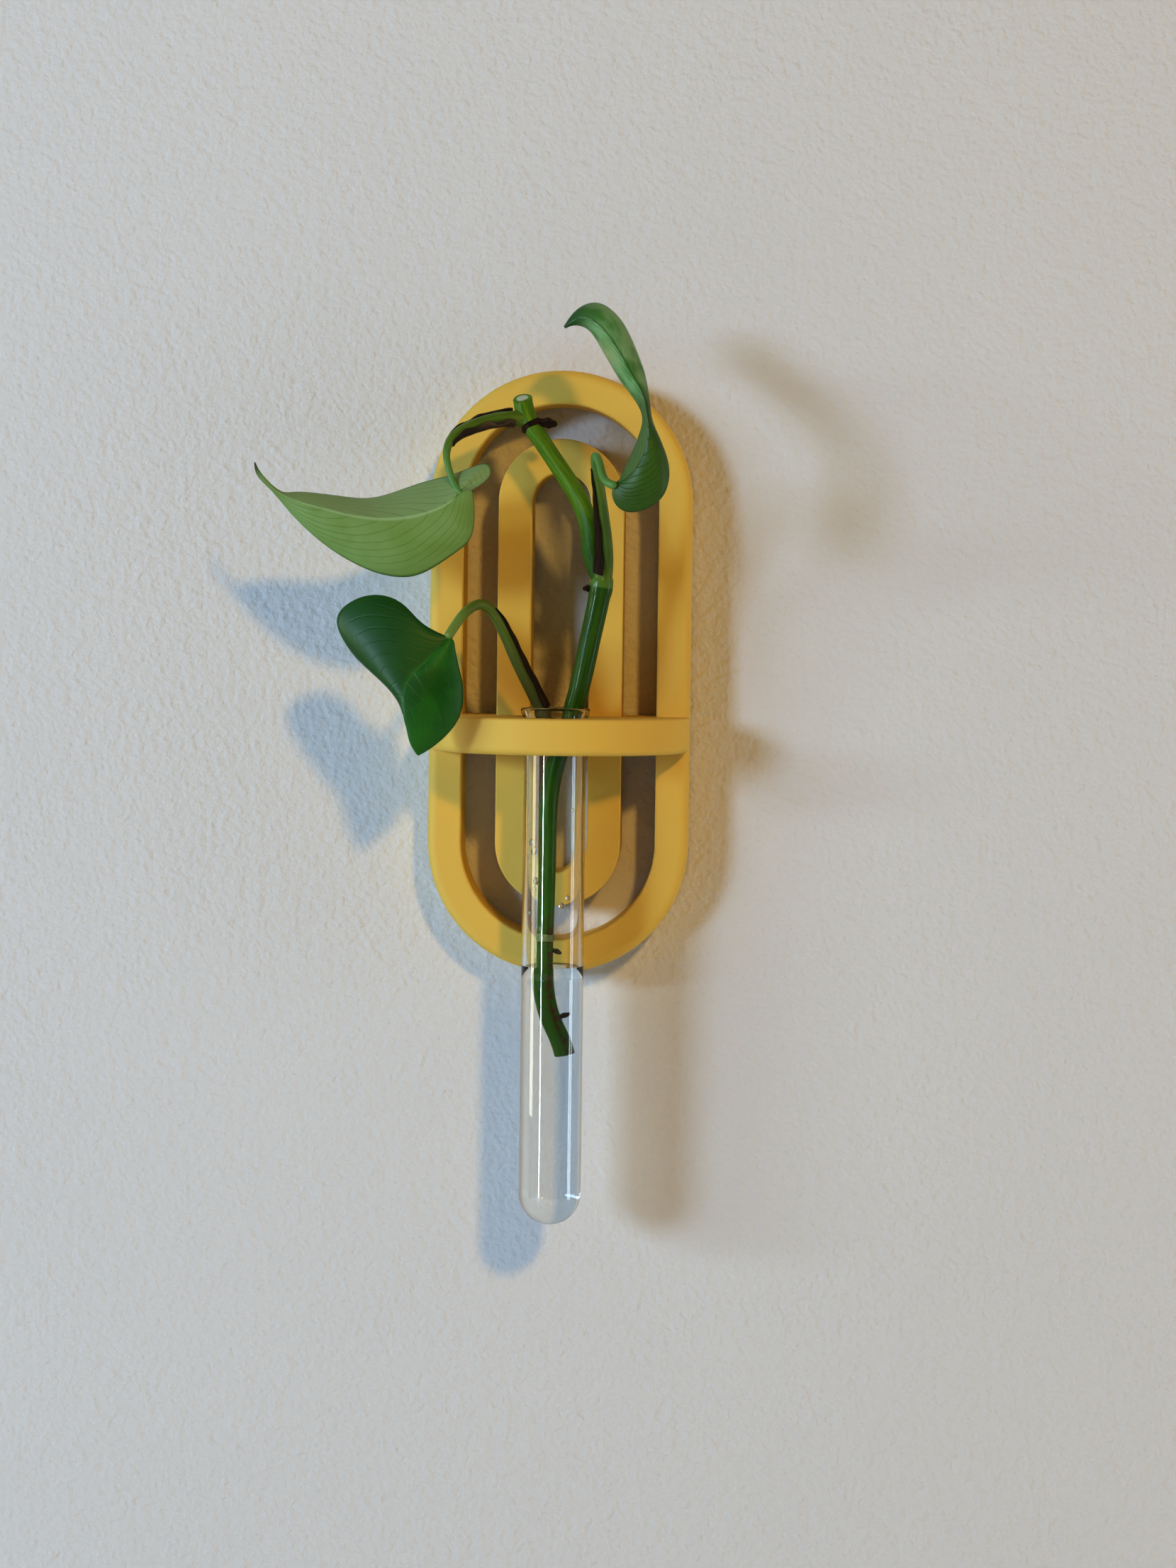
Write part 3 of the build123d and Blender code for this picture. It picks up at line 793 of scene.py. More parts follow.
@dataclass(frozen=True)
class PlainStage(Finish):
    """The studio's pale plaster wall or floor, which is seen through from behind."""

    colour: Colour = (0.775, 0.758, 0.735)
    plaster_depth: float = 0.45 * MM
    coarse_height: float = 1.3
    faint_share: float = 0.97

    def dress(self, bench: Bench, shader: Node) -> None:
        """Adds a fine orange peel and makes the back see-through."""
        place = bench.place()
        coarse = bench.times(bench.noise(place, scale=300.0, detail=1.0), self.coarse_height)
        peel = bench.plus(bench.noise(place, scale=620.0, detail=2.0), coarse)
        faint = dimmed(self.colour, self.faint_share)
        tone = bench.blend(bench.noise(place, scale=12.0), self.colour, faint)
        bench.give(shader, Base_Color=tone, Normal=bench.bump(peel, self.plaster_depth))
        behind = bench.put("NewGeometry").outputs["Backfacing"]
        clear = bench.put("BsdfTransparent")
        both = bench.put("MixShader", {0: behind, 1: shader.outputs[0], 2: clear.outputs[0]})
        bench.tree.links.new(both.outputs[0], bench.tree.nodes["Material Output"].inputs[0])


GOLD = PrintedPlastic("gold_plastic", roughness=0.37)
STEEL = Steel("zinc_steel", roughness=0.35)
FOAM = Foam("white_foam", roughness=0.85)
GLASS = Clear("tube_glass", roughness=0.0)
WATER = Clear("still_water", ior=1.333, tint=(0.99, 0.997, 0.995), smudge=0.0)
STEM = StalkSkin(
    "stem_skin", roughness=0.45, specular=0.15, coat=0.22, base=(0.02, 0.08, 0.002),
    streak=(0.055, 0.135, 0.005), start_colour=(0.085, 0.22, 0.01), start_share=0.5, start_from=0.35,
    start_to=0.7, end_colour=(0.11, 0.21, 0.03), end_from=0.988, end_to=0.993, scar_to=0.3)
SHOOT = StalkSkin(
    "shoot_skin", roughness=0.45, specular=0.15, coat=0.0, base=(0.09, 0.19, 0.006),
    streak=(0.15, 0.28, 0.014), start_colour=(0.035, 0.11, 0.004), start_to=0.45,
    end_colour=(0.52, 0.6, 0.42), end_from=1.0088, end_to=1.01)
PETIOLE = StalkSkin(
    "petiole_skin", roughness=0.45, specular=0.3, coat=0.05, base=(0.1, 0.175, 0.012),
    streak=(0.15, 0.235, 0.03), end_colour=(0.13, 0.29, 0.065), end_from=0.55, end_to=0.8)
LOW_PETIOLE = StalkSkin(
    "low_petiole_skin", roughness=0.45, specular=0.3, coat=0.05, base=(0.11, 0.165, 0.01),
    streak=(0.17, 0.24, 0.025), start_colour=(0.07, 0.066, 0.006), start_from=0.1, start_to=0.75,
    end_colour=(0.21, 0.32, 0.065), end_from=0.8, end_to=0.95)
HUSK = Husk(
    "dry_husk", roughness=0.66, specular=0.12, base=(0.06, 0.026, 0.008), dark=(0.015, 0.007, 0.003),
    edge_share=0.1)
LEFT_HUSK = Husk(
    "edged_husk", roughness=0.6, specular=0.3, base=(0.15, 0.09, 0.045), dark=(0.03, 0.016, 0.007),
    edge_share=0.09, tip_from=0.35)
ROOT = Husk("root_wood", roughness=0.7, base=(0.17, 0.105, 0.045), dark=(0.055, 0.032, 0.013))
NODE_RING = Husk("node_ring", roughness=0.6, base=(0.42, 0.45, 0.23), dark=(0.23, 0.31, 0.09))
LEAF_TOP = LeafSkin(
    "leaf_top", roughness=0.45, specular=0.3, coat=0.03, base=(0.006, 0.095, 0.002),
    light=(0.024, 0.165, 0.008), first_half_painted_shading=(0.012, 0.085, 0.008), first_share=0.8,
    vein=(0.026, 0.12, 0.014), midrib=(0.04, 0.19, 0.02), edge=(0.03, 0.12, 0.02), vein_share=0.1,
    midrib_share=0.6, midrib_width=0.03, vein_sweep=0.6, vein_count=9.0, vein_depth=0.05 * MM)
LEAF_BACK = LeafSkin(
    "leaf_back", roughness=0.55, specular=0.25, coat=0.0, base=(0.205, 0.33, 0.075),
    light=(0.245, 0.38, 0.12), first_half_painted_shading=(0.29, 0.4, 0.185), first_share=0.75,
    vein=(0.095, 0.225, 0.033), midrib=(0.43, 0.6, 0.32), edge=(0.12, 0.24, 0.05), tip_from=0.93,
    vein_share=0.34, midrib_share=0.7, vein_sweep=0.75, vein_count=9.0, vein_depth=0.06 * MM)
LEAF_CREST = TwistedLeafSkin(
    "leaf_crest", roughness=0.45, specular=0.35, coat=0.04, base=(0.036, 0.105, 0.004),
    light=(0.055, 0.14, 0.01), first_half_painted_shading=(0.12, 0.21, 0.055), first_share=0.8,
    vein=(0.03, 0.09, 0.012), midrib=(0.022, 0.07, 0.01), edge=(0.03, 0.1, 0.015),
    tip=(0.02, 0.1, 0.015), tip_from=0.8, midrib_share=0.7, midrib_width=0.07, vein_share=0.25,
    vein_sweep=0.6, vein_count=15.0)
WALL = PlainStage("studio_wall", roughness=0.9, specular=0.2)
FLOOR = PlainStage(
    "studio_floor", roughness=0.8, specular=0.2, colour=(0.8, 0.79, 0.77), plaster_depth=0.05 * MM)


def put_on(piece: Piece, *finishes: Finish) -> None:
    """Gives a piece its finishes.

    Args:
        piece: the piece to dress.
        finishes: one finish for each material slot, in order.
    """
    piece.data.materials.clear()
    for finish in finishes:
        piece.data.materials.append(finish.material())


# The object


def stand_for(piece: Piece, node: str, slot: str, body: Body, *finishes: Finish) -> None:
    """Dresses a piece, lets it stand for its node and rides it on its body.

    Args:
        piece: the new piece.
        node: the node that it replaces.
        slot: the name of its colour slot; not used.
        body: the body that it moves with.
        finishes: one finish for each material slot, in order.
    """
    put_on(piece, *finishes)
    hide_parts(node)
    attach(piece, body.value)
    LOG.info("made %s for %s", piece.name, node)


@dataclass
class WallMount:
    """The gold mount: rings, shelf and bar, with its screws and foam strips."""

    plastic: Sequence[str] = ("outer_ring", "inner_ring", "shelf", "tie_bar")
    screws: Sequence[str] = ("screw_left", "screw_middle", "screw_right")
    strips: Sequence[str] = ("outer_upper_left", "outer_upper_right", "outer_lower_left",
                             "outer_lower_right", "inner_left", "inner_right", "bar")

    def dress(self) -> None:
        """Gives each kept node its finish."""
        strips = ["strip_" + place for place in self.strips]
        for names, finish in ((self.plastic, GOLD), (self.screws, STEEL), (strips, FOAM)):
            for name in names:
                put_on(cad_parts[name], finish)
            LOG.info("dressed %d nodes in %s", len(names), finish.name)


@dataclass
class GlassTube:
    """The test tube, its water and the drops on its wall. Sizes are in millimetres.

    flare holds rows of (out from the wall, up from flare_z), and throat the same out from the bore. The
    wall's own points stop flare_margin below the flare. Each drop has its x, its z and half its width.
    """

    axis_y: float = -38.0
    radius: float = 9.0
    wall: float = 1.2
    rim_radius: float = 10.05
    bead: float = 0.9
    lip_radius: float = 0.55
    flare_z: float = 4.9
    flare: Sequence[Row] = ((0.0, -1.2), (0.15, 0.0), (0.7, 1.3))
    flare_margin: float = 0.2
    throat: Sequence[Row] = ((0.6, 2.6), (0.25, 0.9), (0.0, -1.0))
    rim_top: float = 8.1
    bottom: float = -141.9
    water_top: float = -66.65
    water_overlap: float = 0.03
    meniscus: float = 0.14
    meniscus_spread: float = 0.45
    stem_at_water: Row = (-2.6, -38.0)
    stem_radius: float = 2.5
    around: int = 128
    wall_points: int = 30
    drop_sag: float = 0.25
    drop_depth: float = 0.5
    drop_height: float = 1.25
    drop_sunk: float = 0.18
    drops: Sequence[Row] = (
        (-5.9, -30.5, 0.75), (-5.2, -32.9, 0.95), (-6.7, -34.8, 0.45), (-4.6, -41.5, 0.85),
        (-5.0, -43.6, 0.5), (4.3, -46.2, 0.6), (2.7, -48.4, 0.75), (-6.2, -50.8, 0.4),
        (5.4, -21.0, 0.45), (-3.4, -55.2, 0.55))

    @property
    def bore(self) -> float:
        """The bore's radius."""
        return self.radius - self.wall

    @property
    def ball_z(self) -> float:
        """The height of the middle of the round end."""
        return self.bottom + self.radius

    def ball(self, radius: float) -> np.ndarray:
        """The round end's section, from close to its pole up to its widest place."""
        return arc((0, self.ball_z), radius, start_deg=-89.5, end_deg=0, count=40)

    def upright(self, radius: float, start_z: float, end_z: float) -> np.ndarray:
        """Even points along a straight wall, without its two ends."""
        heights = np.linspace(start_z, end_z, self.wall_points + 2)[1:-1]
        return np.stack((np.full(self.wall_points, radius), heights), axis=1)

    def profile(self) -> np.ndarray:
        """The glass's section: up the outer wall, over the bead and the lip, and down the bore.

        Returns:
            Rows of (radius, height) in metres.
        """
        flare = (self.radius, self.flare_z) + np.array(self.flare)
        throat = (self.bore, self.flare_z) + np.array(self.throat)
        rim_side = (self.rim_radius, self.rim_top - self.bead)
        lip_centre = (throat[0, 0] + self.lip_radius, self.rim_top - self.lip_radius)
        parts = (
            self.ball(self.radius),
            self.upright(self.radius, self.ball_z, flare[0, 1] - self.flare_margin),
            smooth_path(np.concatenate((flare, [rim_side])), count=14),
            arc((self.rim_radius - self.bead, rim_side[1]), self.bead, start_deg=6, end_deg=90, count=12),
            arc(lip_centre, self.lip_radius, start_deg=90, end_deg=180, count=8),
            smooth_path(throat, count=10),
            self.upright(self.bore, flare[0, 1], self.ball_z),
            self.ball(self.bore)[::-1],
        )
        return np.concatenate(parts) * MM

    def climb(self, away: np.ndarray) -> np.ndarray:
        """How far water climbs: the meniscus times e to the minus distance over the spread."""
        return self.meniscus * np.exp(-away / self.meniscus_spread)

    def water_profile(self) -> np.ndarray:
        """The water's section, up the glass and in along its surface.

        Returns:
            Rows of (radius, height) in metres.
        """
        side_points, top_points, inmost = 16, 60, 0.1
        reach = self.bore + self.water_overlap
        heights = np.linspace(self.ball_z, self.water_top + self.meniscus, side_points + 1)[1:]
        side = np.stack((np.full(side_points, reach), heights), axis=1)
        inwards = np.linspace(reach, inmost, top_points)[1:]
        top = np.stack((inwards, self.water_top + self.climb(reach - inwards)), axis=1)
        return np.concatenate((self.ball(reach), side, top)) * MM

    def lift_round_stem(self, water: Piece) -> None:
        """Raises the water's surface round the stem by how far it climbs at that distance from the skin.

        Args:
            water: the water's object.
        """
        wall_margin, surface_margin = 0.3, 0.01
        places = np.zeros(len(water.data.vertices) * 3, dtype=np.float32)
        water.data.vertices.foreach_get("co", places)
        x, y, z = places.reshape(-1, 3).T / MM
        away = np.hypot(x - self.stem_at_water[0], y - self.stem_at_water[1]) - self.stem_radius
        lift = self.climb(np.clip(away, 0, None)) * MM
        off_wall = np.hypot(x, y - self.axis_y) <= self.bore - wall_margin
        surface = (z > self.water_top - surface_margin) & off_wall
        places.reshape(-1, 3)[surface, 2] += lift[surface]
        water.data.vertices.foreach_set("co", places)
        water.data.update()

    def make_drop(self, number: int, x: float, z: float, size: float) -> Piece:
        """A flat drop on the near side of the bore: a ball squashed along the wall's normal, fuller below.

        Args:
            number: the drop's number, for its name.
            x: place across the tube.
            z: height.
            size: half its width.

        Returns:
            The drop's object.
        """
        rows, columns, pole_gap = 18, 24, 0.03
        polar = np.linspace(pole_gap, math.pi - pole_gap, rows)[:, None]
        turn = turns(columns)[None, :]
        up = np.cos(polar) * np.ones_like(turn)
        fullness = 1 - self.drop_sag * up
        across = np.sin(polar) * np.cos(turn) * fullness
        out = np.sin(polar) * np.sin(turn) * fullness * self.drop_depth
        angle = math.asin(x / self.bore)
        normal = np.array((math.sin(angle), -math.cos(angle), 0.0))
        tangent = np.array((math.cos(angle), math.sin(angle), 0.0))
        centre = np.array((0, self.axis_y, z)) + normal * (self.bore - size * self.drop_sunk)
        grid = centre + size * (across[..., None] * tangent + out[..., None] * normal
                                + up[..., None] * np.array((0, 0, self.drop_height)))
        return make_piece(f"drop_{number}", grid * MM, even_chart(polar[:, 0] / math.pi, columns))

    def build(self) -> None:
        """Makes the glass, the water and the drops."""
        axis_y = self.axis_y * MM
        glass = turned_skin("tube_wall", self.profile(), axis_y, self.around)
        stand_for(glass, "glass_tube", "clear_glass", Body.TUBE, GLASS)
        water = turned_skin("water_column", self.water_profile(), axis_y, self.around)
        self.lift_round_stem(water)
        stand_for(water, "water", "water", Body.TUBE, WATER)
        for number, (x, z, size) in enumerate(self.drops, 1):
            drop = self.make_drop(number, x, z, size)
            put_on(drop, WATER)
            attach(drop, Body.TUBE.value)
        LOG.info("made the tube, its water and %d drops", len(self.drops))


@dataclass(frozen=True)
class Stalk:
    """The route of a stalk: its reach in millimetres and rows of (x, y, z) shares of it from the start.

    radii holds rows of (share of the length, radius in millimetres).
    """

    reach: float
    radii: Sequence[Row]
    route: Sequence[Row]

    def path(self, start: np.ndarray, count: int = 90) -> np.ndarray:
        """Points along the stalk in millimetres, from its start."""
        return smooth_path(start + np.array(self.route) * self.reach, count)

    def thickness(self, count: int = 90) -> np.ndarray:
        """The radius at each point of the path, in millimetres."""
        rows = np.array(self.radii, dtype=float)
        return smooth_through(rows[:, 0], rows[:, 1:], shares(count))[:, 0]


@dataclass(frozen=True)
class Clasp:
    """How a husk lies on its petiole: the shares of the length that it covers, and its arc round it.

    The angle is 0 on the left as the petiole grows, 90 towards the viewer and -90 away from the viewer. The
    arc's centre turns by turn_deg from the husk's first end to its last.
    """

    first_share: float
    last_share: float
    centre_deg: float
    half_angle_deg: float
    taper: float
    curl: float = 0.3
    gap: float = 0.1
    turn_deg: float = 0.0
    thickness: float = 0.35
    ripple: float = 0.08

    def skin(self, name: str, path: np.ndarray, radii: np.ndarray) -> Piece:
        """A thin husk that clasps one side of a petiole and ends in a point.

        Its section is an arc about the petiole, out by the gap and by the gap and thickness. Its half angle
        is the widest one times the taper's power of what is left of the length. Its free edges curl out.

        Args:
            name: the piece's name.
            path: the petiole's path in millimetres.
            radii: the petiole's radii in millimetres.

        Returns:
            The husk's object.
        """
        rows, columns, edge_waves, skin_waves, tip_left = 60, 14, 19, 31, 0.004
        along = np.linspace(self.first_share, self.last_share, rows)
        stops = shares(len(path))
        centre = smooth_through(stops, path, along)
        radius = np.interp(along, stops, radii)
        _, sideways, nearer = path_frames(centre)
        left = np.clip(1 - shares(rows), tip_left, 1) ** self.taper
        wavy_edge = 1 + self.ripple * np.sin(edge_waves * shares(rows))
        wrap = math.radians(self.half_angle_deg) * left * wavy_edge
        turn = np.linspace(-1, 1, columns)
        middle = np.radians(self.centre_deg + self.turn_deg * shares(rows))
        angle = (middle[:, None] + wrap[:, None] * turn)[..., None]
        curl = self.curl * turn**4 * left[:, None]
        ripple = self.ripple * np.sin(skin_waves * shares(rows))[:, None] * np.abs(turn)

        out = np.cos(angle) * sideways[:, None] + np.sin(angle) * nearer[:, None]

        def shell(gap: float) -> np.ndarray:
            """The points of one face of the husk, gap out from the petiole's skin."""
            reach = (radius[:, None] + gap + curl + ripple)[..., None]
            return centre[:, None] + reach * out

        grid = np.concatenate((shell(self.gap + self.thickness), shell(self.gap)[:, ::-1]), axis=1)
        return make_piece(name, grid * MM, even_chart(shares(rows), 2 * columns))


@dataclass(frozen=True)
class Blade:
    """A leaf blade, as rows of its midrib, first edge and second edge, each (x, z, nearer) in millimetres.

    x and z are where the point is seen in the plane that lies `plane` in front of the rings, and nearer is
    how far the point stands in front of that plane. The point lies on the line of sight through there.
    """

    plane: float
    first_swell: float
    second_swell: float
    rows: Sequence[tuple[Row, Row, Row]]
    thickness: float = 0.5
    thinnest: float = 0.04
    along: int = 140
    across: int = 22

    def on_sight(self, seen: np.ndarray) -> np.ndarray:
        """Moves places seen in the plane along the line of sight from the camera to how near they are.

        The place is the camera's plus the way from the camera to the plane's place, times the share of the
        plane's distance that is left once the point stands nearer.

        Args:
            seen: rows of (x, z, nearer) in millimetres.

        Returns:
            The same rows as x, y and z.
        """
        plane_y = RING_FRONT_Y_MM - self.plane
        flat = np.stack((seen[..., 0], np.full(seen.shape[:-1], plane_y), seen[..., 1]), axis=-1)
        eye = np.array(CAMERA_PLACE_MM)
        left = (plane_y - seen[..., 2] - eye[1]) / (plane_y - eye[1])
        return eye + (flat - eye) * left[..., None]

    def surface(self) -> tuple[np.ndarray, np.ndarray]:
        """The blade's middle surface and its chart.

        A spline carries the three rails along the blade. Each half runs straight from midrib to edge and
        swells along the normal by four times the share out times the share left, times its swell and the
        half's width there over the widest.

        Returns:
            Points, along by across by 3, in millimetres, and the matching shares along and across.
        """
        tiny = 1e-9
        rails = np.array(self.rows, dtype=float)
        steps = np.linalg.norm(np.diff(rails, axis=0), axis=2).mean(1)
        stops = np.concatenate(([0.0], np.cumsum(steps)))
        even = shares(self.along)
        smooth = smooth_through(stops / stops[-1], rails.reshape(len(rails), 9), even).reshape(-1, 3, 3)
        middle, first, second = np.moveaxis(self.on_sight(smooth), 1, 0)[:, :, None]
        out = np.linspace(-1, 1, 2 * self.across + 1)
        away = np.abs(out)[:, None]
        on_first = (out < 0)[:, None]
        half = np.where(on_first, first, second) - middle
        flat = middle + half * away
        slope_along = np.gradient(middle, axis=0) * np.ones_like(flat)
        normal = np.cross(slope_along, half * np.where(on_first, -1.0, 1.0))
        normal /= np.linalg.norm(normal, axis=-1, keepdims=True) + tiny
        normal *= -np.sign(normal[..., 1:2] + tiny)
        width = np.linalg.norm(half, axis=-1, keepdims=True)
        full = width / width.max(axis=0, keepdims=True)
        swell = np.where(on_first, self.first_swell, self.second_swell)
        lifted = flat + normal * (4 * away * (1 - away) * swell * full)
        return lifted, np.stack(np.meshgrid(even, (out + 1) / 2, indexing="ij"), axis=2)

    def skin(self, name: str) -> Piece:
        """A closed leaf: the middle surface, set half the thickness to each side and thin at its edges.

        The front columns take slot 0 and the back columns slot 1. The thickness falls off as the square
        root of one less the fourth power of the share out.

        Args:
            name: the piece's name.

        Returns:
            The leaf's object.
        """
        middle, chart = self.surface()
        normal = unit(np.cross(np.gradient(middle, axis=0), np.gradient(middle, axis=1)))
        normal *= -np.sign(normal[..., 1].sum())
        out = np.abs(chart[..., 1] * 2 - 1)
        half = self.thickness / 2 * np.sqrt(np.clip(1 - out**4, self.thinnest, 1))[..., None]
        grid = np.concatenate((middle + normal * half, (middle - normal * half)[:, ::-1]), axis=1)
        loop_chart = np.concatenate((chart, chart[:, ::-1], chart[:, :1]), axis=1)
        return make_piece(name, grid * MM, loop_chart, np.repeat((0, 1), middle.shape[1]))


@dataclass(frozen=True)
class Leaf:
    """One leaf with its petiole and sheath: their shapes and finishes, and the leaf's slot."""

    side: str
    slot: str
    petiole: Stalk
    clasp: Clasp
    blade: Blade
    skin: Finish
    husk: Finish
    front: Finish
    back: Finish

    def build(self, start: np.ndarray) -> None:
        """Makes the petiole, its sheath and its leaf.

        Args:
            start: where the petiole starts, in millimetres.
        """
        path, radii = self.petiole.path(start), self.petiole.thickness()
        stalk = stalk_skin(self.side + "_leaf_stalk", path, radii, StalkEnd.BURIED, StalkEnd.ROUND,
                           around=32, flute=0.03)
        stand_for(stalk, self.side + "_petiole", "petiole_green", Body.CUTTING, self.skin)
        sheath = self.clasp.skin(self.side + "_husk", path, radii)
        stand_for(sheath, self.side + "_sheath", "dry_sheath", Body.CUTTING, self.husk)
        blade = self.blade.skin(self.side + "_blade")
        stand_for(blade, self.side + "_leaf", self.slot, Body.CUTTING, self.front, self.back)


@dataclass(frozen=True)
class Outgrowth:
    """A small piece that grows on the stem or the shoot, at a share of its length."""

    name: str
    node: str
    slot: str
    finish: Finish
    share: float
    on_shoot: bool

    def skin(self, path: np.ndarray, radii: np.ndarray) -> Piece:
        """Makes the piece. Each kind of outgrowth has its own shape.

        Args:
            path: the stalk's path in millimetres.
            radii: the stalk's radii in millimetres.

        Returns:
            The outgrowth's object.
        """
        raise NotImplementedError


@dataclass(frozen=True)
class Knob(Outgrowth):
    """A small blunt knob: its direction, the stalk's radius, its reach past that and its own radius."""

    heading: Row
    stalk_radius: float
    reach: float
    radius: float

    def skin(self, path: np.ndarray, radii: np.ndarray) -> Piece:
        """A short lumpy stalk that starts inside the big one, rises a little and narrows to a blunt end."""
        count, wide, narrow, lump, lumps, rise = 14, 1.15, 0.8, 0.16, 11, 0.1
        start = at_share(path, self.share)
        way = unit(np.array(self.heading))
        skin = self.stalk_radius
        reaches = np.array((skin / 2, skin + self.reach / 2, skin + self.reach))
        knots = start + way * reaches[:, None]
        knots[1, 2] += rise * self.reach
        lumpy = 1 + lump * np.sin(lumps * shares(count))
        narrowing = np.linspace(wide, narrow, count) * self.radius * lumpy
        return stalk_skin(self.name, smooth_path(knots, count), narrowing, StalkEnd.BURIED, StalkEnd.ROUND,
                          around=18, flute=0.1)


@dataclass(frozen=True)
class Band(Outgrowth):
    """A swollen ring round a stalk: its height, and how far it stands out in millimetres."""

    height: float
    proud: float

    def skin(self, path: np.ndarray, radii: np.ndarray) -> Piece:
        """A ring whose radius rises and falls as half a cosine, with its ends sunk in the stalk."""
        count, sunk = 16, 0.15
        stops = shares(len(path))
        at = self.share + (shares(count) - 0.5) * self.height / runs_of(path).sum()
        swell = np.cos((shares(count) - 0.5) * math.pi)
        radius = np.interp(at, stops, radii) - sunk + (self.proud + sunk) * swell
        middle = smooth_through(stops, path, at)
        return stalk_skin(self.name, middle, radius, StalkEnd.BURIED, StalkEnd.BURIED,
                          around=36, flute=0.03)


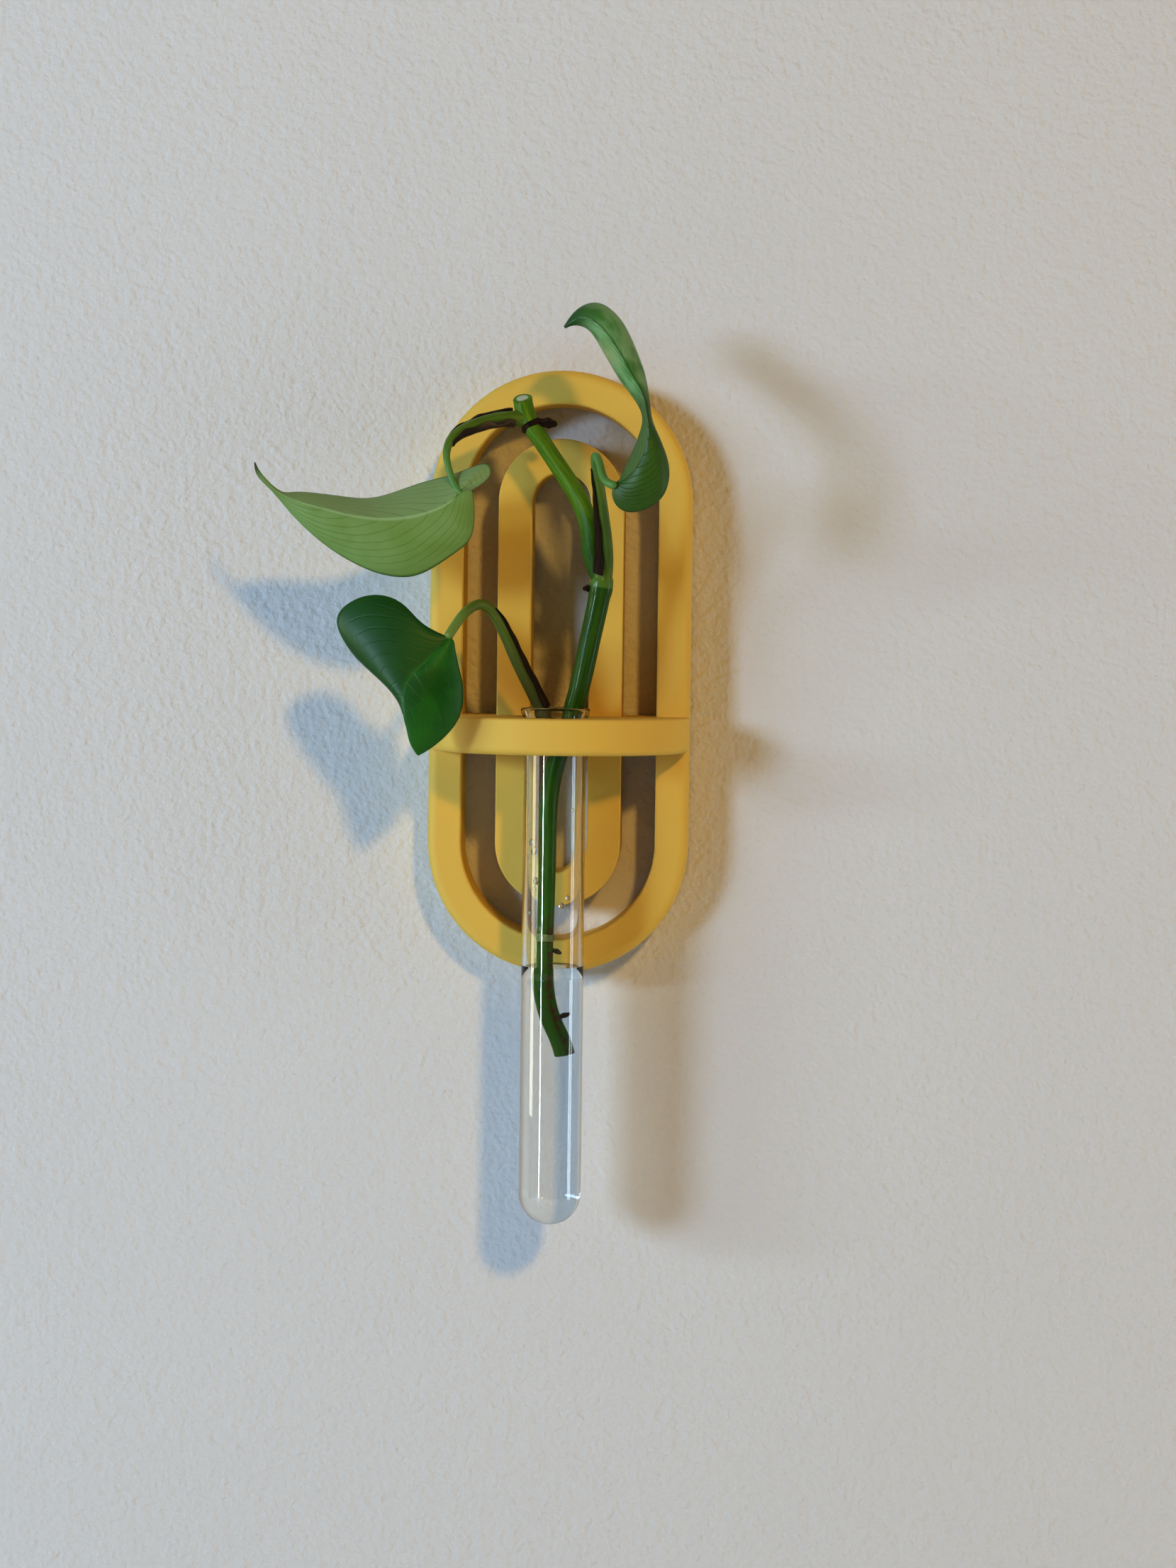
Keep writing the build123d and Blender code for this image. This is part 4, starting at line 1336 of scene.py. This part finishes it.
@dataclass
class Cutting:
    """The plant cutting: its stem and shoot, leaves with their petioles and sheaths, and small pieces.

    stem_in_tube holds rows of (x and y in bore radii, z as a share of the stem's depth below the rim).
    """

    tube: GlassTube
    stem_below_rim: float = 99.8
    low_seat_depth: float = 11.9
    left_seat: float = 0.9
    node_swell: float = 0.28
    node_share: float = 0.985
    node_spread: float = 0.012
    stem_in_tube: Sequence[Row] = (
        (0.37, 0.0, -1.0), (0.25, -0.06, -0.96), (0.0, -0.1, -0.905), (-0.18, -0.08, -0.845),
        (-0.28, 0.0, -0.745), (-0.27, 0.05, -0.63), (-0.23, 0.05, -0.41), (-0.08, 0.02, -0.2),
        (0.18, 0.0, -0.12), (0.58, 0.0, -0.02))
    stem_above: Stalk = Stalk(
        38.2, ((0.0, 2.3), (0.25, 2.42), (0.5, 2.6), (0.72, 2.85), (0.86, 3.02), (0.95, 3.08), (1.0, 3.2)),
        ((0.0, 0.0, 0.0), (0.06, -0.05, 0.205), (0.135, -0.08, 0.56), (0.185, -0.1, 0.795),
         (0.223, -0.12, 1.0)))
    shoot: Stalk = Stalk(
        52.0, ((0.0, 2.75), (0.25, 2.75), (0.55, 2.6), (0.8, 2.6), (0.9, 2.8), (1.0, 2.75)),
        ((0.0, 0.0, 0.0), (-0.033, 0.01, 0.085), (-0.052, 0.025, 0.14), (-0.067, 0.045, 0.25),
         (-0.104, 0.065, 0.394), (-0.187, 0.085, 0.542), (-0.288, 0.1, 0.688), (-0.379, 0.11, 0.819),
         (-0.43, 0.118, 0.9), (-0.456, 0.122, 1.0)))
    low_leaf: Leaf = Leaf(
        "low", "leaf_green",
        Stalk(44.0, ((0.0, 2.3), (0.5, 1.9), (0.8, 1.45), (1.0, 1.3)),
              ((0.0, 0.0, 0.0), (-0.062, -0.01, 0.15), (-0.139, -0.03, 0.316), (-0.285, -0.105, 0.608),
               (-0.414, -0.2, 0.868), (-0.459, -0.24, 0.923), (-0.51, -0.29, 0.945),
               (-0.575, -0.35, 0.915), (-0.63, -0.42, 0.85), (-0.689, -0.5, 0.748))),
        Clasp(0.2, 0.7, 155.0, 46.0, taper=0.6, curl=0.1),
        Blade(42.0, 1.6, 2.0, (
            ((-28.8, 27.9, 0.0), (-29.1, 28.0, 0.1), (-28.5, 27.9, 0.1)),
            ((-30.8, 25.7, 0.8), (-36.3, 31.6, -0.2), (-27.7, 26.9, 0.2)),
            ((-33.5, 23.0, 1.6), (-41.8, 36.8, -1.0), (-27.3, 24.9, 0)),
            ((-36.1, 20.3, 2.3), (-48.1, 39.5, -1.8), (-26.8, 22.2, -0.4)),
            ((-38.6, 18.0, 2.9), (-55.8, 38.1, -2.4), (-26.0, 19.0, -0.9)),
            ((-40.2, 15.9, 3.3), (-60.6, 33.1, -2.8), (-25.2, 15.6, -1.4)),
            ((-41.3, 13.9, 3.6), (-58.8, 26.8, -2.6), (-24.9, 12.3, -1.8)),
            ((-41.8, 11.8, 3.8), (-53.8, 20.5, -2.2), (-25.0, 8.9, -2.0)),
            ((-42.0, 10.0, 3.8), (-47.6, 15.5, -1.8), (-25.9, 5.7, -2.0)),
            ((-41.8, 7.5, 3.6), (-42.6, 10.0, -2.2), (-27.8, 2.5, -1.8)),
            ((-41.3, 4.6, 3.2), (-40.2, 5.3, -3.4), (-30.5, -0.5, -1.4)),
            ((-40.5, 1.7, 2.6), (-39.1, 1.7, -3.4), (-33.1, -2.7, -1.0)),
            ((-39.5, -1.9, 1.8), (-37.9, -1.9, -2.2), (-35.6, -4.4, -0.4)),
            ((-37.4, -5.3, 0.6), (-37.3, -5.2, 0.5), (-37.3, -5.3, 0.5)),
        )),
        LOW_PETIOLE, HUSK, LEAF_TOP, LEAF_BACK)
    top_leaf: Leaf = Leaf(
        "top", "leaf_green",
        Stalk(37.0, ((0.0, 2.9), (0.1, 2.6), (0.3, 2.05), (0.5, 1.6), (0.7, 1.25), (0.9, 1.1), (1.0, 1.15)),
              ((0.0, 0.0, 0.0), (0.019, -0.05, 0.142), (0.022, -0.132, 0.307), (0.01, -0.24, 0.47),
               (-0.004, -0.376, 0.63), (-0.02, -0.484, 0.762), (-0.039, -0.605, 0.878),
               (-0.033, -0.714, 0.924), (-0.001, -0.822, 0.866), (0.027, -0.903, 0.773),
               (0.068, -0.957, 0.717), (0.112, -0.984, 0.697))),
        Clasp(0.05, 0.66, 38.0, 54.0, taper=0.75),
        Blade(32.0, 0.8, 1.2, (
            ((16.6, 72.0, 28.0), (17.0, 72.2, 28.0), (16.2, 71.0, 28.0)),
            ((18.0, 72.3, 28.5), (17.9, 72.9, 26.7), (15.9, 69.0, 27.8)),
            ((19.8, 73.2, 29.0), (18.7, 74.6, 25.4), (17.2, 65.8, 27.6)),
            ((21.7, 75.0, 29.5), (19.6, 76.8, 24.2), (20.6, 64.0, 27.5)),
            ((23.4, 77.3, 30.0), (20.5, 79.0, 23.2), (25.6, 64.9, 27.6)),
            ((24.7, 79.7, 30.2), (21.5, 81.2, 22.4), (29.8, 68.0, 27.4)),
            ((25.6, 82.6, 30.4), (22.5, 83.4, 22.2), (31.8, 72.8, 27.1)),
            ((26.0, 85.6, 30.4), (23.4, 85.8, 22.3), (31.4, 79.0, 26.2)),
            ((26.0, 88.3, 30.4), (24.2, 88.0, 22.5), (28.8, 84.8, 25.1)),
            ((25.6, 91.2, 30.0), (24.6, 90.4, 22.3), (26.4, 89.6, 23.8)),
            ((25.2, 94.0, 29.2), (23.9, 92.4, 21.8), (25.8, 93.5, 22.8)),
            ((24.1, 97.6, 28.0), (21.9, 95.6, 20.8), (25.5, 98.0, 21.8)),
            ((21.8, 101.6, 25.5), (18.2, 100.4, 18.6), (24.5, 103.4, 19.4)),
            ((19.0, 106.6, 21.0), (15.1, 105.2, 14.7), (22.4, 109.0, 15.3)),
            ((15.9, 111.5, 15.5), (12.4, 109.7, 10.0), (19.7, 114.8, 10.3)),
            ((12.3, 115.9, 10.5), (10.0, 113.6, 6.1), (15.6, 120.2, 6.1)),
            ((8.4, 118.4, 7.5), (7.4, 115.8, 4.3), (10.2, 122.7, 4.3)),
            ((5.0, 117.9, 5.5), (4.5, 116.3, 3.7), (5.2, 120.6, 3.7)),
            ((1.9, 115.7, 4.0), (2.1, 115.6, 3.5), (1.9, 116.1, 3.5)),
        )),
        PETIOLE, HUSK, LEAF_CREST, LEAF_BACK)
    left_leaf: Leaf = Leaf(
        "left", "leaf_underside",
        Stalk(24.0, ((0.0, 2.5), (0.2, 2.0), (0.45, 1.75), (0.58, 1.35), (0.7, 1.05), (1.0, 1.0)),
              ((0.0, 0.0, 0.0), (-0.154, -0.06, 0.008), (-0.342, -0.15, -0.008), (-0.55, -0.26, -0.07),
               (-0.754, -0.38, -0.167), (-0.875, -0.48, -0.283), (-0.917, -0.56, -0.438),
               (-0.883, -0.63, -0.638), (-0.788, -0.69, -0.85), (-0.73, -0.72, -0.92))),
        Clasp(0.1, 0.62, -52.0, 122.0, taper=0.08, gap=0.15, turn_deg=42.0),
        Blade(36.0, 0.8, 1.6, (
            ((-26.5, 68.8, 0.0), (-26.0, 70.0, -0.5), (-25.4, 69.2, 0.0)),
            ((-27.3, 67.9, 0.3), (-22.4, 71.0, -2.0), (-23.7, 69.4, 0.0)),
            ((-28.2, 67.2, 0.6), (-18.6, 73.4, -3.6), (-22.9, 66.5, 0.0)),
            ((-29.5, 66.2, 1.0), (-18.8, 76.7, -4.6), (-22.7, 61.8, -0.2)),
            ((-31.5, 64.9, 1.4), (-23.4, 76.0, -5.4), (-23.6, 56.4, -0.4)),
            ((-34.8, 63.4, 1.9), (-29.8, 73.6, -6.2), (-27.0, 52.6, -0.4)),
            ((-39.5, 62.0, 2.4), (-36.5, 71.8, -6.6), (-33.7, 47.9, -0.2)),
            ((-45.0, 61.2, 2.8), (-44.0, 69.2, -6.8), (-40.5, 45.0, 0.0)),
            ((-52.0, 61.2, 3.0), (-52.0, 67.0, -6.4), (-49.5, 45.7, 0.2)),
            ((-59.5, 62.3, 2.8), (-60.0, 67.3, -5.4), (-58.5, 49.5, 0.4)),
            ((-67.0, 64.1, 2.2), (-68.0, 68.2, -4.0), (-66.5, 54.8, 0.4)),
            ((-74.3, 66.2, 1.2), (-74.5, 68.4, -2.2), (-75.2, 62.9, 0.2)),
            ((-79.2, 68.7, 0.2), (-78.3, 68.9, -1.0), (-80.0, 68.4, -0.2)),
            ((-82.7, 71.9, -0.6), (-82.3, 72.5, -1.0), (-83.0, 71.3, -0.8)),
            ((-84.5, 74.5, -1.2), (-84.2, 75.0, -1.4), (-84.8, 73.9, -1.3)),
            ((-85.1, 76.6, -1.8), (-85.0, 76.7, -1.8), (-85.2, 76.6, -1.8)),
        )),
        PETIOLE, LEFT_HUSK, LEAF_BACK, LEAF_TOP)
    outgrowths: Sequence[Outgrowth] = (
        Knob("stub", "dried_stub", "dry_sheath", HUSK, 0.865, True, (1.0, 0.0, 0.1), 2.6, 4.0, 1.5),
        Band("scar", "scar_ring", "dry_sheath", HUSK, 0.865, True, height=2.3, proud=0.3),
        Band("stem_node", "root_ring", "root_brown", NODE_RING, 0.245, False, height=2.6, proud=0.4),
        Knob("root_bud", "root_nub", "root_brown", ROOT, 0.22, False, (1.0, 0.0, -0.2), 2.45, 2.0, 0.75),
        Knob("lower_root_bud", "lower_root_nub", "root_brown", ROOT, 0.07, False,
             (1.0, 0.0, 0.6), 2.35, 2.0, 0.75),
        Knob("node_bud", "node_nub", "root_brown", HUSK, 0.982, False, (-1.0, -0.3, 0.1), 3.1, 1.5, 0.95))

    def stem_path(self, count: int) -> np.ndarray:
        """The main stem's path: the part in the tube, then the part above it.

        Args:
            count: how many points to give.

        Returns:
            Points in millimetres.
        """
        scale = np.array((self.tube.bore, self.tube.bore, self.stem_below_rim))
        below = np.array((0, self.tube.axis_y, self.tube.rim_top)) + np.array(self.stem_in_tube) * scale
        above = below[-1] + np.array(self.stem_above.route[1:]) * self.stem_above.reach
        return smooth_path(np.concatenate((below, above)), count)

    def low_start(self, stem: np.ndarray) -> np.ndarray:
        """Where the low petiole leaves the stem: a set length below the rim's share of the stem."""
        rim_share = self.stem_below_rim / (self.stem_below_rim + self.stem_above.reach)
        return at_share(stem, rim_share - self.low_seat_depth / runs_of(stem).sum())

    def build(self) -> None:
        """Makes every piece of the cutting in turn."""
        count = 160
        stem, stem_radii = self.stem_path(count), self.stem_above.thickness(count)
        stem_radii += self.node_swell * np.exp(-((shares(count) - self.node_share) / self.node_spread) ** 2)
        piece = stalk_skin("stem", stem, stem_radii, StalkEnd.CUT, StalkEnd.ROUND, around=40, flute=0.025)
        stand_for(piece, "main_stem", "stem_green", Body.CUTTING, STEM)
        shoot, shoot_radii = self.shoot.path(stem[-1]), self.shoot.thickness()
        piece = stalk_skin("shoot", shoot, shoot_radii, StalkEnd.ROUND, StalkEnd.CUT,
                           around=40, flute=0.03, slant=0.55)
        stand_for(piece, "side_stem", "petiole_green", Body.CUTTING, SHOOT)
        self.low_leaf.build(self.low_start(stem))
        self.top_leaf.build(stem[-1])
        self.left_leaf.build(at_share(shoot, self.left_seat))
        for part in self.outgrowths:
            piece = part.skin(shoot, shoot_radii) if part.on_shoot else part.skin(stem, stem_radii)
            stand_for(piece, part.node, part.slot, Body.CUTTING, part.finish)


# The studio


@dataclass(frozen=True)
class Lamp:
    """A soft light that faces the origin: its place and size in metres, its watts and its colour."""

    name: str
    place: Row
    wide: float
    tall: float
    watts: float
    colour: Colour
    roll_deg: float = 0.0
    gloss_only: bool = False

    def build(self) -> None:
        """Adds the light to the scene. A gloss only lamp shows in glossy surfaces and lights nothing."""
        data = bpy.data.lights.new(self.name, "AREA")
        data.shape = "RECTANGLE"
        data.size = self.wide
        data.size_y = self.tall
        data.energy = self.watts
        data.color = self.colour
        light = bpy.data.objects.new(self.name, data)
        light.location = self.place
        facing = (-Vector(self.place)).to_track_quat("-Z", "Y")
        light.rotation_euler = (facing @ Quaternion((0, 0, 1), math.radians(self.roll_deg))).to_euler()
        light.visible_diffuse = not self.gloss_only
        light.visible_transmission = not self.gloss_only
        bpy.context.scene.collection.objects.link(light)


@dataclass
class Studio:
    """A pale wall and floor, cool light from the left, a warm lamp from the upper right, and the camera."""

    wall_half: float = 1.6
    wall_y: float = 0.4 * MM
    floor_z: float = -0.55
    lens: float = 68.4
    sensor: float = 36.0
    near_clip: float = 0.01
    camera_turn_deg: Row = (87.09, -0.73, 2.32)
    lamps: Sequence[Lamp] = (
        Lamp("cool_window", (-1.45, -1.89, 0.3), 0.42, 0.42, 27.0, (0.49, 0.71, 1.0)),
        Lamp("cool_far_window", (-1.89, -1.4, 0.46), 0.9, 0.2, 14.5, (0.62, 0.84, 1.0), 18.0),
        Lamp("cool_card", (-1.4, -1.82, -0.3), 0.1, 0.6, 18.0, (0.8, 0.92, 1.0), 0.0, True),
        Lamp("pale_card", (-2.3, -0.6, 0.1), 0.6, 1.2, 22.0, (1.0, 0.97, 0.8), 0.0, True),
        Lamp("cool_side_strip", (1.45, -0.26, -0.12), 0.16, 1.0, 5.0, (0.75, 0.88, 1.0)),
        Lamp("warm_lamp", (0.73, -2.1, 1.05), 0.16, 0.16, 20.0, (1.0, 0.63, 0.16)),
    )
    sky: Colour = (0.6, 0.66, 0.95)
    sky_strength: float = 0.11
    front_share: float = 0.25
    contrast: float = 0.8

    def sheet(self, name: str, corners: Sequence[Row], finish: Finish) -> None:
        """Adds a flat stage sheet.

        Args:
            name: the sheet's name.
            corners: its corners in metres, anticlockwise as seen from its front.
            finish: its finish.
        """
        mesh = bpy.data.meshes.new(name)
        mesh.from_pydata(corners, [], [(0, 1, 2, 3)])
        sheet = bpy.data.objects.new(name, mesh)
        bpy.context.scene.collection.objects.link(sheet)
        put_on(sheet, finish)

    def light_sides(self) -> None:
        """Lets faint light in from the left and the right, and less from the front and the back."""
        world = bpy.data.worlds.new("studio")
        world.use_nodes = True
        bench = Bench(world.node_tree)
        heading = bench.put("SeparateXYZ", {0: bench.put("TexCoord").outputs["Generated"]})
        side = bench.window(bench.step("ABSOLUTE", heading.outputs[0]), 0.1, 1.0)
        strength = bench.between(side, self.front_share * self.sky_strength, self.sky_strength)
        bench.give(world.node_tree.nodes["Background"], Color=self.sky, Strength=strength)
        bpy.context.scene.world = world

    def build(self) -> None:
        """Sets up the camera, the stage and the lights."""
        scene = bpy.context.scene
        data = bpy.data.cameras.new("camera")
        data.lens = self.lens
        data.sensor_width = self.sensor
        data.clip_start = self.near_clip
        camera = bpy.data.objects.new("camera", data)
        camera.location = Vector(CAMERA_PLACE_MM) * MM
        camera.rotation_euler = Euler([math.radians(turn) for turn in self.camera_turn_deg])
        scene.collection.objects.link(camera)
        scene.camera = camera
        half, back = self.wall_half, self.wall_y
        self.sheet("studio_wall", ((-half, back, self.floor_z), (half, back, self.floor_z),
                                   (half, back, half), (-half, back, half)), WALL)
        self.sheet("studio_floor", ((-half, -half, self.floor_z), (half, -half, self.floor_z),
                                    (half, half, self.floor_z), (-half, half, self.floor_z)), FLOOR)
        for lamp in self.lamps:
            lamp.build()
        self.light_sides()
        scene.view_settings.view_transform = "Standard"
        scene.view_settings.gamma = self.contrast
        LOG.info("set up the studio with %d lamps", len(self.lamps))


def main() -> None:
    """Builds the studio and the object."""
    logging.basicConfig(level=logging.INFO, format="%(name)s: %(message)s")
    Studio().build()
    WallMount().dress()
    tube = GlassTube()
    tube.build()
    Cutting(tube=tube).build()


if __name__ == "__main__":
    main()
